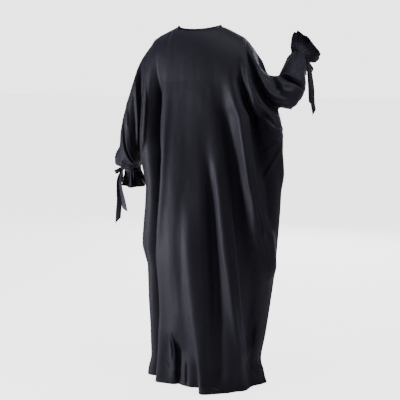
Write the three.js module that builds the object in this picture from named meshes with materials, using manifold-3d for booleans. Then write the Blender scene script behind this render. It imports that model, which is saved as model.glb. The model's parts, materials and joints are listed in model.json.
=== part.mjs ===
// A black batwing abaya with tied cuffs, as it hangs when it is worn: an open, hollow garment of thin
// cloth.
// Millimetres, +Z up. The origin is the middle of the neck at the height where the shoulder seams meet
// it.
// +X is the wearer's left, -Y the front. The left sleeve hangs down, and the right one is bent with
// its cuff raised.
import * as THREE from "three";
import { mergeVertices } from "three/addons/utils/BufferGeometryUtils.js";
import Module from "manifold-3d";

const { clamp, lerp, degToRad, radToDeg } = THREE.MathUtils;
const kernel = await Module();
kernel.setup();

// Driving sizes of the cloth
const WALL = 1.5; // cloth with its turned seams, as one wall
const MITRE = 0.5; // in a sharp fold, the inner point is at most the wall over this from the outer one
const SEAM_GAP = 0.5; // clear space between two pieces that are sewn together
const ARMHOLE_GAP = 1.8; // the same, where a sleeve leaves an armhole at an angle
const YOKE = -200; // below this the body is a stack of level rings, above it the cloth turns in
const SHOULDER = { half: 185, drop: 45 }; // where the shoulder seam ends
const NECK = { half: 90, back: 62, backDrop: 16, front: 80, frontDrop: 98 }; // the neckline, worn
const NECK_ANGLE = 60; // the shoulder seam meets the neckline at this angle round the body
const BINDING = { rise: 8, wall: 2 }; // the bound neck edge
const ARMHOLE_FOOT = { left: -500, right: -340 }; // the level where each armhole ends
const COLUMNS = { back: 33, front: 24 }; // spans of cloth round each panel

// The body's rings. Half-widths to the wearer's left and right at the side seams, and the ones that the
// middle of the cloth follows (In). Then how far back or forward the side seams sit, depths to the back
// and front, and half the armhole's opening on each side, where a sleeve leaves the ring open.
const SECTIONS = [
  { level: -1420, left: 226, leftIn: 222, right: 262, rightIn: 258, leftAt: -12, rightAt: -42,
    back: 146, front: 160, openLeft: 0, openRight: 0 },
  { level: -1398, left: 224, leftIn: 221, right: 256, rightIn: 256, leftAt: -12, rightAt: -40,
    back: 146, front: 160, openLeft: 0, openRight: 0 },
  { level: -1330, left: 209, leftIn: 219, right: 247, rightIn: 256, leftAt: -12, rightAt: -38,
    back: 146, front: 162, openLeft: 0, openRight: 0 },
  { level: -1236, left: 209, leftIn: 218, right: 262, rightIn: 264, leftAt: -12, rightAt: -36,
    back: 147, front: 163, openLeft: 0, openRight: 0 },
  { level: -1106, left: 213, leftIn: 217, right: 282, rightIn: 278, leftAt: -10, rightAt: -34,
    back: 148, front: 164, openLeft: 0, openRight: 0 },
  { level: -950, left: 216, leftIn: 218, right: 302, rightIn: 290, leftAt: -8, rightAt: -30,
    back: 149, front: 165, openLeft: 0, openRight: 0 },
  { level: -910, left: 228, leftIn: 218, right: 306, rightIn: 292, leftAt: -6, rightAt: -29,
    back: 149, front: 165, openLeft: 0, openRight: 0 },
  { level: -860, left: 241, leftIn: 219, right: 310, rightIn: 294, leftAt: -5, rightAt: -28,
    back: 149, front: 164, openLeft: 0, openRight: 0 },
  { level: -771, left: 233, leftIn: 220, right: 316, rightIn: 296, leftAt: -4, rightAt: -26,
    back: 149, front: 163, openLeft: 0, openRight: 0 },
  { level: -687, left: 224, leftIn: 221, right: 321, rightIn: 297, leftAt: -2, rightAt: -24,
    back: 148, front: 162, openLeft: 0, openRight: 0 },
  { level: -625, left: 221, leftIn: 222, right: 324, rightIn: 297, leftAt: -1, rightAt: -22,
    back: 146, front: 160, openLeft: 0, openRight: 0 },
  { level: -560, left: 236, leftIn: 223, right: 327, rightIn: 296, leftAt: 0, rightAt: -18,
    back: 144, front: 157, openLeft: 0, openRight: 0 },
  { level: -500, left: 250, leftIn: 223, right: 330, rightIn: 293, leftAt: 0, rightAt: -12,
    back: 142, front: 154, openLeft: 0, openRight: 0 },
  { level: -415, left: 238, leftIn: 222, right: 333, rightIn: 286, leftAt: 0, rightAt: -4,
    back: 139, front: 149, openLeft: 44, openRight: 0 },
  { level: -340, left: 226, leftIn: 219, right: 331, rightIn: 277, leftAt: 0, rightAt: 0,
    back: 136, front: 144, openLeft: 55, openRight: 0 },
  { level: -295, left: 219, leftIn: 216, right: 290, rightIn: 266, leftAt: 0, rightAt: 0,
    back: 133, front: 140, openLeft: 60, openRight: 48 },
  { level: -245, left: 213, leftIn: 212, right: 258, rightIn: 251, leftAt: 0, rightAt: 0,
    back: 130, front: 136, openLeft: 62, openRight: 68 },
  { level: -200, left: 208, leftIn: 208, right: 236, rightIn: 236, leftAt: 0, rightAt: 0,
    back: 126, front: 131, openLeft: 62, openRight: 76 },
];
const ROUNDNESS = 0.96; // the power of the rings' curve: 1 is an ellipse, less is blunter

// The rows of both panels, from the hem to the shoulder seam
const LEVELS = [
  -1420, -1398, -1362, -1312, -1250, -1180, -1106, -1030, -968, -915, -860, -800, -740, -680, -620,
  -560, -500, -455, -415, -375, -340, -295, -245, -200, -160, -122, -85, -48, -22, 0,
];

// Folds that run down the body. Each is a ridge, or a trough where out is negative, that follows an
// angle round the body from its top past its middle to its foot. Angles are 0 at the left side seam, 90
// at the centre back, 180 at the right side seam and -90 at the centre front. wide is half its width in
// degrees, and lean rolls it sideways.
const FOLDS = [
  { name: "left side valley", top: -80, mid: -560, foot: -1700,
    topAt: 34, midAt: 45, footAt: 24, wide: 9, out: -50, lean: 0 },
  { name: "left side valley foot", top: -620, mid: -1200, foot: -1700,
    topAt: 42, midAt: 33, footAt: 24, wide: 9, out: -26, lean: 0 },
  { name: "back panel edge", top: -150, mid: -560, foot: -1700,
    topAt: 56, midAt: 62, footAt: 40, wide: 8, out: 14, lean: 0.6 },
  { name: "left side strip", top: -420, mid: -860, foot: -1500,
    topAt: 8, midAt: 16, footAt: 8, wide: 7, out: 5, lean: 0 },
  { name: "left back hollow", top: -560, mid: -1300, foot: -1800,
    topAt: 66, midAt: 66, footAt: 66, wide: 20, out: -32, lean: 0 },
  { name: "centre ridge", top: -560, mid: -1000, foot: -1700,
    topAt: 92, midAt: 98, footAt: 113, wide: 8, out: 20, lean: 0.9 },
  { name: "centre trough", top: -260, mid: -820, foot: -1420,
    topAt: 104, midAt: 110, footAt: 118, wide: 9, out: -22, lean: 0 },
  { name: "right long ridge", top: -300, mid: -800, foot: -1500,
    topAt: 106, midAt: 123, footAt: 152, wide: 9, out: 16, lean: 0 },
  { name: "right long trough", top: -140, mid: -560, foot: -1300,
    topAt: 118, midAt: 124, footAt: 160, wide: 8, out: -22, lean: 0 },
  { name: "shoulder ridge", top: -120, mid: -480, foot: -1000,
    topAt: 127, midAt: 134, footAt: 172, wide: 8, out: 22, lean: 0 },
  { name: "shoulder trough", top: -110, mid: -400, foot: -860,
    topAt: 140, midAt: 149, footAt: 186, wide: 8, out: -20, lean: 0 },
  { name: "underarm ridge", top: -170, mid: -360, foot: -640,
    topAt: 154, midAt: 160, footAt: 188, wide: 7, out: 10, lean: 0 },
  { name: "hem dent", top: -1180, mid: -1330, foot: -1700,
    topAt: 74, midAt: 72, footAt: 71, wide: 5, out: -20, lean: 0 },
  { name: "hem hollow", top: -1000, mid: -1300, foot: -1800,
    topAt: 84, midAt: 86, footAt: 86, wide: 14, out: -38, lean: 0 },
  { name: "right hem hollow", top: -900, mid: -1300, foot: -1800,
    topAt: 150, midAt: 155, footAt: 158, wide: 20, out: -32, lean: 0 },
  { name: "right hem flick", top: -1320, mid: -1380, foot: -1500,
    topAt: 180, midAt: 184, footAt: 188, wide: 9, out: 12, lean: 0 },
  { name: "front left valley", top: -180, mid: -700, foot: -1700,
    topAt: -34, midAt: -40, footAt: -38, wide: 10, out: -26, lean: 0 },
  { name: "front left ridge", top: -220, mid: -700, foot: -1700,
    topAt: -56, midAt: -59, footAt: -60, wide: 9, out: 14, lean: 0 },
  { name: "front centre valley", top: -330, mid: -800, foot: -1700,
    topAt: -84, midAt: -80, footAt: -78, wide: 9, out: -18, lean: 0 },
  { name: "front centre ridge", top: -400, mid: -850, foot: -1700,
    topAt: -102, midAt: -102, footAt: -98, wide: 9, out: 14, lean: 0 },
  { name: "front right valley", top: -200, mid: -700, foot: -1700,
    topAt: -128, midAt: -126, footAt: -122, wide: 10, out: -24, lean: 0 },
  { name: "front right ridge", top: -240, mid: -750, foot: -1700,
    topAt: -148, midAt: -147, footAt: -144, wide: 9, out: 12, lean: 0 },
];

// The sleeves from the armhole to the tie. over is the line along the top or outside of the arm, under
// the line below it, back the direction of its back, and deep half the size that way. at is the place
// along the sleeve, 0 to 1.
const LEFT_SLEEVE = [
  { at: 0, over: [185, 0, -45], under: [250, 0, -500], back: [0, 1, 0], deep: 62 },
  { at: 0.1, over: [218, 0, -84], under: [253, -5, -505], back: [0, 1, 0], deep: 66 },
  { at: 0.2, over: [246, 2, -134], under: [256, -11, -510], back: [0, 1, 0], deep: 71 },
  { at: 0.3, over: [268, 6, -196], under: [259, -16, -515], back: [0, 1, 0], deep: 76 },
  { at: 0.4, over: [292, 8, -266], under: [262, -21, -521], back: [0, 1, 0], deep: 79 },
  { at: 0.5, over: [316, 6, -334], under: [265, -27, -526], back: [0, 1, 0], deep: 80 },
  { at: 0.6, over: [336, 0, -400], under: [268, -32, -531], back: [0, 1, 0], deep: 78 },
  { at: 0.7, over: [351, -12, -462], under: [271, -37, -537], back: [0, 1, -0.05], deep: 72 },
  { at: 0.8, over: [381, -28, -510], under: [275, -43, -545], back: [0, 1, -0.12], deep: 64 },
  { at: 0.87, over: [384, -40, -536], under: [279, -49, -552], back: [0, 1, -0.2], deep: 56 },
  { at: 0.94, over: [360, -52, -551], under: [285, -55, -557], back: [0, 1, -0.24], deep: 40 },
  { at: 0.97, over: [352, -56, -554], under: [286, -58, -558], back: [-0.02, 1, -0.24], deep: 34 },
  { at: 1, over: [352, -58, -562], under: [286, -60, -566], back: [-0.02, 1, -0.24], deep: 34 },
];
const RIGHT_SLEEVE = [
  { at: 0, over: [-185, 0, -45], under: [-331, 0, -340], back: [-0.4, 0.9, 0.15], deep: 76 },
  { at: 0.05, over: [-200, 0, -62], under: [-346, 0, -335], back: [-0.4, 0.9, 0.15], deep: 76 },
  { at: 0.1, over: [-215, -2, -86], under: [-353, -6, -328], back: [-0.4, 0.9, 0.15], deep: 76 },
  { at: 0.2, over: [-234, -12, -144], under: [-359, -24, -314], back: [-0.4, 0.86, 0.24], deep: 74 },
  { at: 0.31, over: [-252, -32, -185], under: [-366, -44, -298], back: [-0.45, 0.74, 0.42], deep: 72 },
  { at: 0.42, over: [-273, -56, -202], under: [-379, -62, -280], back: [-0.55, 0.6, 0.56], deep: 72 },
  { at: 0.53, over: [-284, -78, -204], under: [-391, -84, -258], back: [-0.5, 0.58, 0.62], deep: 66 },
  { at: 0.64, over: [-290, -100, -180], under: [-392, -108, -232], back: [-0.46, 0.66, 0.6], deep: 61 },
  { at: 0.75, over: [-300, -128, -147], under: [-382, -134, -202], back: [-0.46, 0.65, 0.6], deep: 55 },
  { at: 0.86, over: [-309, -160, -118], under: [-380, -162, -168], back: [-0.44, 0.65, 0.61], deep: 47 },
  { at: 0.95, over: [-316, -184, -101], under: [-372, -184, -135], back: [-0.38, 0.69, 0.61], deep: 35 },
  { at: 1, over: [-316, -190, -94], under: [-372, -190, -128], back: [-0.38, 0.69, 0.61], deep: 35 },
];

// The frilled cuffs, from the tie to the open edge
const LEFT_CUFF = [
  { at: 0.14, over: [352, -60, -571], under: [286, -62, -575], back: [-0.02, 1, -0.24], deep: 34 },
  { at: 0.4, over: [356, -64, -590], under: [281, -66, -594], back: [-0.02, 1, -0.24], deep: 41 },
  { at: 0.7, over: [363, -68, -607], under: [273, -71, -614], back: [-0.02, 1, -0.24], deep: 47 },
  { at: 1, over: [370, -72, -626], under: [266, -76, -634], back: [-0.02, 1, -0.24], deep: 53 },
];
const RIGHT_CUFF = [
  { at: 0.14, over: [-316, -197, -88], under: [-372, -197, -122], back: [-0.38, 0.69, 0.62], deep: 35 },
  { at: 0.4, over: [-307, -214, -68], under: [-389, -207, -124], back: [-0.36, 0.7, 0.62], deep: 42 },
  { at: 0.7, over: [-306, -231, -44], under: [-409, -218, -124], back: [-0.33, 0.77, 0.55], deep: 54 },
  { at: 1, over: [-313, -246, -20], under: [-424, -226, -110], back: [-0.18, 0.89, 0.42], deep: 66 },
];

const SLEEVE_PLACES = { left: 10, right: 12 }; // rows of a sleeve between its armhole and its tie
const CUFF_COLUMNS = 36;
const UNDER_TIE = 7.5; // how far the sleeve and the cuff run straight under the tie
const GATHERS = { count: 9, deep: 5 }; // gathers above the ties
const FRILL = { waves: 7, deep: 7 }; // waves of a cuff's open edge

// The ties: a band round the gathers, with a knot, two loops and two tails. A loop goes out from the
// knot by its reach and opens toward a direction, and a tail hangs through its points and turns from one
// flat direction to the other.
const TIE = { wide: 12, thick: 1.6, clear: 0.7, ribbon: 1.4, loopWide: 18, loopOpen: 15, knot: [6, 8, 6.4] };
const LEFT_TIE = {
  turn: 28,
  loops: [
    { reach: [34, 6, -17], open: [0.1, 1, 0] },
    { reach: [27, -26, -12], open: [1, 0.6, 0] },
  ],
  tails: [
    { wide: 19, slant: 26, from: [0.7, 0.7, 0], to: [0.98, 0.2, 0],
      path: [
        [3, 3, -3], [8, 3, -26], [16, 6, -58], [17, 6, -90], [16, 6, -130], [22, 4, -180], [26, 2, -222],
      ] },
    { wide: 24, slant: -14, from: [0.6, -0.8, 0], to: [0.95, -0.3, 0],
      path: [[0, 5, -3], [3, 15, -28], [0, 28, -60], [-3, 24, -95], [-8, 18, -136], [-13, 16, -172]] },
  ],
};
const RIGHT_TIE = {
  turn: 176,
  loops: [
    { reach: [-2, -8, -52], open: [1, 0.2, 0.1] },
    { reach: [-16, -20, -40], open: [1, -0.2, 0] },
  ],
  tails: [
    { wide: 15, slant: 22, from: [0.5, 0.86, 0], to: [0.9, 0.43, 0],
      path: [[-3, 0, -3], [-10, 2, -22], [-17, 2, -60], [-24, 3, -110], [-27, 4, -160], [-35, 6, -200]] },
    { wide: 16, slant: -18, from: [0.9, 0.3, 0], to: [0.6, 0.8, 0],
      path: [[0, -5, -3], [-5, -14, -24], [-6, -24, -62], [-8, -30, -110], [-10, -34, -168]] },
  ],
};

/** Eases 0 to 1 as value goes from one limit to the other, up or down, flat at both ends. */
function ease(value, from, to) {
  const t = clamp((value - from) / (to - from), 0, 1);
  return t * t * (3 - 2 * t);
}

/** The value of a smooth curve through knots at place x, with no overshoot between them. */
function curveThrough(places, values, x) {
  const last = places.length - 1;
  const forward = places[last] > places[0] ? 1 : -1;
  let i = 0;
  while (i < last - 1 && (x - places[i + 1]) * forward > 0) i += 1;
  const slope = (k) => (values[k + 1] - values[k]) / (places[k + 1] - places[k]);
  const tangent = (k) => {
    if (k === 0) return slope(0);
    if (k === last) return slope(last - 1);
    const before = slope(k - 1);
    const after = slope(k);
    return before * after <= 0 ? 0 : (2 * before * after) / (before + after);
  };
  const step = places[i + 1] - places[i];
  const t = clamp((x - places[i]) / step, 0, 1);
  const a = values[i];
  const b = values[i + 1];
  const ta = tangent(i) * step;
  const tb = tangent(i + 1) * step;
  const start = (a * (1 + 2 * t) + ta * t) * (1 - t) ** 2;
  const end = (b * (3 - 2 * t) + tb * (t - 1)) * t * t;
  return start + end;
}

const SECTION_LEVELS = SECTIONS.map((row) => row.level);

const SECTION_SIZES = Object.fromEntries(
  Object.keys(SECTIONS[0]).map((column) => [column, SECTIONS.map((row) => row[column])]),
);

/** One named size of the body at a level. */
const sizeAt = (column, level) => curveThrough(SECTION_LEVELS, SECTION_SIZES[column], level);

/** The plain ring of the body at a level: a point and the flat direction out of the cloth. */
function ringPoint(side, angle, level) {
  const c = Math.cos(degToRad(angle));
  const s = Math.sin(degToRad(angle));
  const half = c > 0 ? "left" : "right";
  const wide = lerp(sizeAt(`${half}In`, level), sizeAt(half, level), c ** 4);
  const deep = side > 0 ? sizeAt("back", level) : sizeAt("front", level);
  const leftness = ease(c, -1, 1);
  const seam = lerp(sizeAt("rightAt", level), sizeAt("leftAt", level), leftness);
  const open = lerp(sizeAt("openRight", level), sizeAt("openLeft", level), leftness);
  const y = side * lerp(side * seam + open, deep, Math.abs(s) ** ROUNDNESS);
  return {
    point: new THREE.Vector3(wide * Math.sign(c) * Math.abs(c) ** ROUNDNESS, y, level),
    out: new THREE.Vector3(c / wide, s / deep, 0).normalize(),
  };
}

/** The top edge of a panel: the shoulder seam out to the armhole, and the neckline between the seams. */
function topPoint(side, angle) {
  const c = Math.cos(degToRad(angle));
  const cornerC = Math.cos(degToRad(NECK_ANGLE));
  if (Math.abs(c) >= cornerC) {
    const t = (Math.abs(c) - cornerC) / (1 - cornerC);
    const x = Math.sign(c) * lerp(NECK.half, SHOULDER.half, t);
    return new THREE.Vector3(x, 0, -SHOULDER.drop * t ** 1.15);
  }
  const turn = (Math.PI * (Math.abs(angle) - NECK_ANGLE)) / (180 - 2 * NECK_ANGLE);
  const deep = side > 0 ? NECK.back : -NECK.front;
  const drop = side > 0 ? NECK.backDrop : NECK.frontDrop;
  return new THREE.Vector3(NECK.half * Math.cos(turn), deep * Math.sin(turn), -drop * Math.sin(turn) ** 1.4);
}

/** How far the folds move the cloth out at an angle and level, and how far sideways. */
function foldsAt(angle, level) {
  let out = 0;
  let along = 0;
  for (const fold of FOLDS) {
    if (level > fold.top || level < fold.foot) continue;
    const centre =
      level > fold.mid
        ? lerp(fold.topAt, fold.midAt, (fold.top - level) / (fold.top - fold.mid))
        : lerp(fold.midAt, fold.footAt, (fold.mid - level) / (fold.mid - fold.foot));
    let off = angle - centre;
    off -= 360 * Math.round(off / 360);
    const x = off / fold.wide;
    if (Math.abs(x) > 3) continue;
    const start = ease(level, fold.top, lerp(fold.top, fold.mid, 0.7));
    const end = ease(level, fold.foot, fold.foot + 90);
    const height = fold.out * start * end * Math.exp(-x * x);
    out += height;
    along += fold.lean * height;
  }
  return { out, along };
}

/** A point on the outer face of the body's cloth. side is 1 for the back and -1 for the front. */
function bodyPoint(side, angle, level) {
  const { out, along } = foldsAt(angle, Math.min(level, -40));
  const ring = ringPoint(side, angle, Math.min(level, YOKE));
  const point = ring.point.clone();
  let fade = 1;
  if (level > YOKE) {
    const top = topPoint(side, angle);
    const turn = (Math.PI / 2) * (level / YOKE);
    point.x = lerp(ring.point.x, top.x, Math.cos(turn) ** 1.5);
    point.y = lerp(top.y, ring.point.y, Math.sin(turn));
    point.z = lerp(YOKE, top.z, Math.cos(turn));
    fade = ease(level, -30, YOKE);
  }
  const sideways = new THREE.Vector3(-ring.out.y, ring.out.x, 0);
  return point.addScaledVector(ring.out, out * fade).addScaledVector(sideways, -along * fade);
}

/**
 * The triangles of a grid of points, given as rows, as three [row, column] spots each. round joins its
 * two sides.
 */
function trianglesOf(grid, round, clothAt) {
  const columns = grid[0].length;
  const spans = round ? columns : columns - 1;
  const triangles = [];
  for (let i = 0; i < grid.length - 1; i += 1) {
    for (let j = 0; j < spans; j += 1) {
      // Each span is split along the diagonal that keeps closer to the cloth, or the shorter one
      const next = (j + 1) % columns;
      const corners = [[i, j], [i, next], [i + 1, next], [i + 1, j]];
      const ends = corners.map(([row, column]) => grid[row][column]);
      const cloth = clothAt?.(i, j);
      const miss = (a, b) => (cloth ? a.clone().lerp(b, 0.5).distanceTo(cloth) : a.distanceTo(b));
      if (miss(ends[1], ends[3]) < miss(ends[0], ends[2])) corners.push(corners.shift());
      triangles.push([corners[0], corners[1], corners[2]], [corners[0], corners[2], corners[3]]);
    }
  }
  return triangles;
}

/** The middle of several points. */
function middleOf(points) {
  return points.reduce((sum, point) => sum.add(point), new THREE.Vector3()).divideScalar(points.length);
}

/** A tube of cloth as a grid of its outer points, their triangles and its inner points. */
function tubeOf(outer, hold = () => {}) {
  const triangles = trianglesOf(outer, true);
  const middles = outer.map(middleOf);
  let facing = 0;
  for (const spots of triangles) {
    const [a, b, c] = spots.map(([i, j]) => outer[i][j]);
    facing += b.clone().sub(a).cross(c.clone().sub(a)).dot(a.clone().sub(middles[spots[0][0]]));
  }
  return { outer, triangles, inner: insideOf(outer, triangles, Math.sign(facing), hold) };
}

/**
 * Inner points of a grid, one wall in from every triangle round each outer point. hold may turn the
 * direction of a point's wall.
 */
function insideOf(grid, triangles, facing, hold) {
  const planes = grid.map((row) => row.map(() => []));
  for (const spots of triangles) {
    const [a, b, c] = spots.map(([i, j]) => grid[i][j]);
    const plane = b.clone().sub(a).cross(c.clone().sub(a)).setLength(facing);
    if (plane.length() > 0.5) for (const [i, j] of spots) planes[i][j].push(plane);
  }
  return grid.map((row, i) =>
    row.map((point, j) => {
      const around = planes[i][j];
      const normal = new THREE.Vector3();
      const worst = () => around.reduce((low, plane) => (plane.dot(normal) < low.dot(normal) ? plane : low));
      const settle = () => {
        hold(normal, i, j);
        normal.normalize();
      };
      for (const plane of around) normal.add(plane);
      settle();
      for (let turn = 0; turn < 40 && worst().dot(normal) < 0.9; turn += 1) {
        normal.addScaledVector(worst(), 0.15);
        settle();
      }
      return point.clone().addScaledVector(normal, -WALL / clamp(worst().dot(normal), MITRE, 1));
    }),
  );
}

/** A closed solid between two grids of points with the same triangles. */
function wallBetween(outer, inner, triangles, round) {
  const rows = outer.length;
  const columns = outer[0].length;
  const points = [...outer.flat(), ...inner.flat()];
  const index = (layer, i, j) => layer * rows * columns + i * columns + (j % columns);
  const faces = [];
  const quad = (a, b, c, d) => faces.push(a, b, c, a, c, d);
  for (const spots of triangles) {
    faces.push(...spots.map(([i, j]) => index(0, i, j)), ...spots.map(([i, j]) => index(1, i, j)).reverse());
  }
  for (let j = 0; j < (round ? columns : columns - 1); j += 1) {
    quad(index(0, 0, j), index(1, 0, j), index(1, 0, j + 1), index(0, 0, j + 1));
    quad(index(0, rows - 1, j), index(0, rows - 1, j + 1), index(1, rows - 1, j + 1), index(1, rows - 1, j));
  }
  for (let i = 0; i < rows - 1 && !round; i += 1) {
    const end = columns - 1;
    quad(index(0, i, 0), index(0, i + 1, 0), index(1, i + 1, 0), index(1, i, 0));
    quad(index(0, i, end), index(1, i, end), index(1, i + 1, end), index(0, i + 1, end));
  }
  return solidFrom(points, faces);
}

/** A geometry from points and faces, turned so that its faces point out. */
function solidFrom(points, faces) {
  let volume = 0;
  for (let i = 0; i < faces.length; i += 3) {
    const [a, b, c] = [points[faces[i]], points[faces[i + 1]], points[faces[i + 2]]];
    volume += a.dot(b.clone().cross(c));
  }
  const turned = volume > 0 ? faces : faces.slice().reverse();
  const geometry = new THREE.BufferGeometry();
  geometry.setAttribute("position", new THREE.Float32BufferAttribute(points.flatMap((p) => p.toArray()), 3));
  geometry.setIndex(turned);
  return mergeVertices(geometry, 1e-4);
}

/** Whether a point of a panel's edge lies on a side seam or a shoulder seam. */
function onSeam(angle, level) {
  const turn = Math.abs(angle);
  if (level === 0) return turn <= NECK_ANGLE || turn >= 180 - NECK_ANGLE;
  return (turn === 0 && level <= ARMHOLE_FOOT.left) || (turn === 180 && level <= ARMHOLE_FOOT.right);
}

/** A body panel as a grid of its outer points, their triangles and its inner points. */
function panelOf(side) {
  const columns = side > 0 ? COLUMNS.back : COLUMNS.front;
  const step = 180 / columns;
  const seam = new THREE.Vector3(0, (side * SEAM_GAP) / 2, 0);
  const angles = Array.from({ length: columns + 1 }, (_, j) => side * step * j);
  const outer = LEVELS.map((level) => angles.map((angle) => bodyPoint(side, angle, level).add(seam)));
  const clothAt = (i, j) =>
    bodyPoint(side, angles[j] + (side * step) / 2, (LEVELS[i] + LEVELS[i + 1]) / 2).add(seam);
  const triangles = trianglesOf(outer, false, clothAt);
  // Where the two panels are sewn together, both walls go straight in
  const hold = (normal, i, j) => onSeam(angles[j], LEVELS[i]) && normal.setY(0);
  return { outer, triangles, inner: insideOf(outer, triangles, side, hold) };
}

const backPanel = panelOf(1);
const frontPanel = panelOf(-1);

/** The armhole's edge of the panels, as a loop from the shoulder down the back and up the front. */
function armholeEdge(arm) {
  const first = LEVELS.indexOf(ARMHOLE_FOOT[arm]);
  const column = arm === "left" ? 0 : -1;
  const edge = ({ outer }) => outer.slice(first).map((row) => row.at(column));
  const back = edge(backPanel);
  const front = edge(frontPanel);
  const foot = back[0].clone().lerp(front[0], 0.5);
  const shoulder = back[back.length - 1].clone().lerp(front[front.length - 1], 0.5);
  return [shoulder, ...back.slice(1, -1).reverse(), foot, ...front.slice(1, -1)];
}

/**
 * The first row of a sleeve: the armhole's edge with a point more in each span, moved off the panels
 * by the gap. Each spot is its point and the direction away from the panels.
 */
function armholeLoop(arm) {
  const edge = armholeEdge(arm);
  const count = edge.length;
  const middle = middleOf(edge);
  const outward = new THREE.Vector3(arm === "left" ? 1 : -1, 0, 0);
  const loop = edge.map((point, i) => {
    const along = edge[(i + 1) % count].clone().sub(edge[(i + count - 1) % count]).normalize();
    const away = middle.clone().sub(point).normalize().add(outward).projectOnPlane(along).normalize();
    return { point: point.clone().addScaledVector(away, ARMHOLE_GAP), away };
  });
  return loop.flatMap((spot, i) => {
    const next = loop[(i + 1) % count];
    const point = spot.point.clone().lerp(next.point, 0.5);
    return [spot, { point, away: spot.away.clone().add(next.away).normalize() }];
  });
}

/** The middle and half axes of an arm's ring, at a place along the table of its rows. */
function armRing(rows, place) {
  const places = rows.map((row) => row.at);
  const readAxis = (line, axis) => curveThrough(places, rows.map((row) => row[line][axis]), place);
  const read = (line) => new THREE.Vector3(readAxis(line, 0), readAxis(line, 1), readAxis(line, 2));
  const over = read("over");
  const under = read("under");
  const long = over.clone().sub(under).multiplyScalar(0.5);
  const back = read("back").projectOnPlane(long.clone().normalize()).normalize();
  return {
    centre: over.clone().add(under).multiplyScalar(0.5),
    long,
    back,
    deep: curveThrough(places, rows.map((row) => row.deep), place),
  };
}

/** The direction of the arm at a place. */
function armPath(rows, place) {
  const before = armRing(rows, clamp(place - 0.02, 0, 1)).centre;
  return armRing(rows, clamp(place + 0.02, 0, 1)).centre.sub(before).normalize();
}

/**
 * A point of a plain sleeve or cuff: turn is 0 on its over line, 90 at its back and 180 on its under
 * line.
 */
function armPoint(rows, place, turn, wave = 0) {
  const ring = armRing(rows, place);
  const c = Math.cos(degToRad(turn));
  const s = Math.sin(degToRad(turn));
  const out = ring.long.clone().multiplyScalar(c).addScaledVector(ring.back, ring.deep * s);
  return ring.centre.add(out.multiplyScalar(1 + wave / out.length()));
}

/** A sleeve, from the armhole's own edge to the gathers under the tie. */
function sleeveOf(arm, rows) {
  const loop = armholeLoop(arm);
  const columns = loop.length;
  const ring = armRing(rows, 0);
  const along = ring.long.clone().normalize();
  // A loop point's own turn, read from how high it sits on the first ring
  const loopTurns = loop.map(({ point }, j) => {
    const height = clamp(point.clone().sub(ring.centre).dot(along) / ring.long.length(), -1, 1);
    const turn = radToDeg(Math.acos(height));
    return j * 2 <= columns ? turn : 360 - turn;
  });
  const count = SLEEVE_PLACES[arm] - 1;
  const places = Array.from({ length: count }, (_, i) => (0.95 * (i + 1)) / count);
  places.push(rows[rows.length - 2].at, 1);
  const spots = places.filter((place, i) => i === 0 || place - places[i - 1] > 0.01);
  const outer = [loop.map(({ point }) => point)];
  for (const place of spots) {
    const hold = 1 - ease(place, 0, 0.5);
    outer.push(loop.map((first, j) => {
      const turn = lerp(loopTurns[j], (360 * j) / columns, ease(place, 0, 0.9));
      const pull = GATHERS.deep * ease(place, 0.6, 0.85) * (1 - ease(place, 0.88, 0.95));
      const point = armPoint(rows, place, turn, pull * Math.cos(degToRad(GATHERS.count * turn)));
      return point.addScaledVector(first.point.clone().sub(armPoint(rows, 0, loopTurns[j])), hold);
    }));
  }
  // The first row's wall never leans back toward the panels
  return tubeOf(outer, (normal, i, j) => {
    if (i === 0 && normal.dot(loop[j].away) > 0) normal.projectOnPlane(loop[j].away);
  });
}

/** A frilled cuff. It starts as the sleeve's end carried straight on under the tie. */
function cuffOf(rows, sleeveRows) {
  const turns = Array.from({ length: CUFF_COLUMNS }, (_, j) => (360 * j) / CUFF_COLUMNS);
  const path = armPath(sleeveRows, 1);
  const outer = [SEAM_GAP, SEAM_GAP + UNDER_TIE].map((along) =>
    turns.map((turn) => armPoint(sleeveRows, 1, turn).addScaledVector(path, along)),
  );
  for (const { at } of rows.slice(1)) {
    const wave = FRILL.deep * ease(at, 0.1, 1);
    outer.push(turns.map((turn) => armPoint(rows, at, turn, wave * Math.cos(degToRad(FRILL.waves * turn)))));
  }
  return tubeOf(outer);
}

/**
 * A solid strip of cloth through sections, each a middle, half its width and half its thickness as
 * directions.
 */
function ribbon(sections) {
  const points = sections.flatMap(({ middle, half, thick }) => [
    middle.clone().sub(half).sub(thick),
    middle.clone().add(half).sub(thick),
    middle.clone().add(half).add(thick),
    middle.clone().sub(half).add(thick),
  ]);
  const faces = [0, 2, 1, 0, 3, 2];
  for (let i = 0; i < sections.length - 1; i += 1) {
    for (let k = 0; k < 4; k += 1) {
      const [a, b] = [4 * i + k, 4 * i + ((k + 1) % 4)];
      faces.push(a, b, b + 4, a, b + 4, a + 4);
    }
  }
  const end = 4 * (sections.length - 1);
  faces.push(end, end + 1, end + 2, end, end + 2, end + 3);
  return solidFrom(points, faces);
}

/** A loop of a bow: out from the knot and back, a little apart at its ends. */
function bowLoop(knot, { reach, open }) {
  const out = new THREE.Vector3(...reach);
  const wide = new THREE.Vector3(...open).cross(out).normalize();
  const opening = out.clone().cross(wide).normalize();
  const spots = Array.from({ length: 13 }, (_, i) => {
    const t = i / 12;
    const sine = Math.sin(Math.PI * t);
    const spread = (TIE.loopOpen / 2) * Math.sin(2 * Math.PI * t) * (0.6 + 0.4 * sine) + 2 * (1 - 2 * t);
    return knot.clone().addScaledVector(out, sine ** 0.9).addScaledVector(opening, spread);
  });
  return ribbon(spots.map((middle, i) => {
    const along = spots[Math.min(i + 1, 12)].clone().sub(spots[Math.max(i - 1, 0)]);
    const width = TIE.loopWide * (0.45 + 0.55 * Math.sin((Math.PI * i) / 12) ** 0.5);
    return {
      middle,
      half: wide.clone().multiplyScalar(width / 2),
      thick: along.cross(wide).normalize().multiplyScalar(TIE.ribbon / 2),
    };
  }));
}

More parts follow.
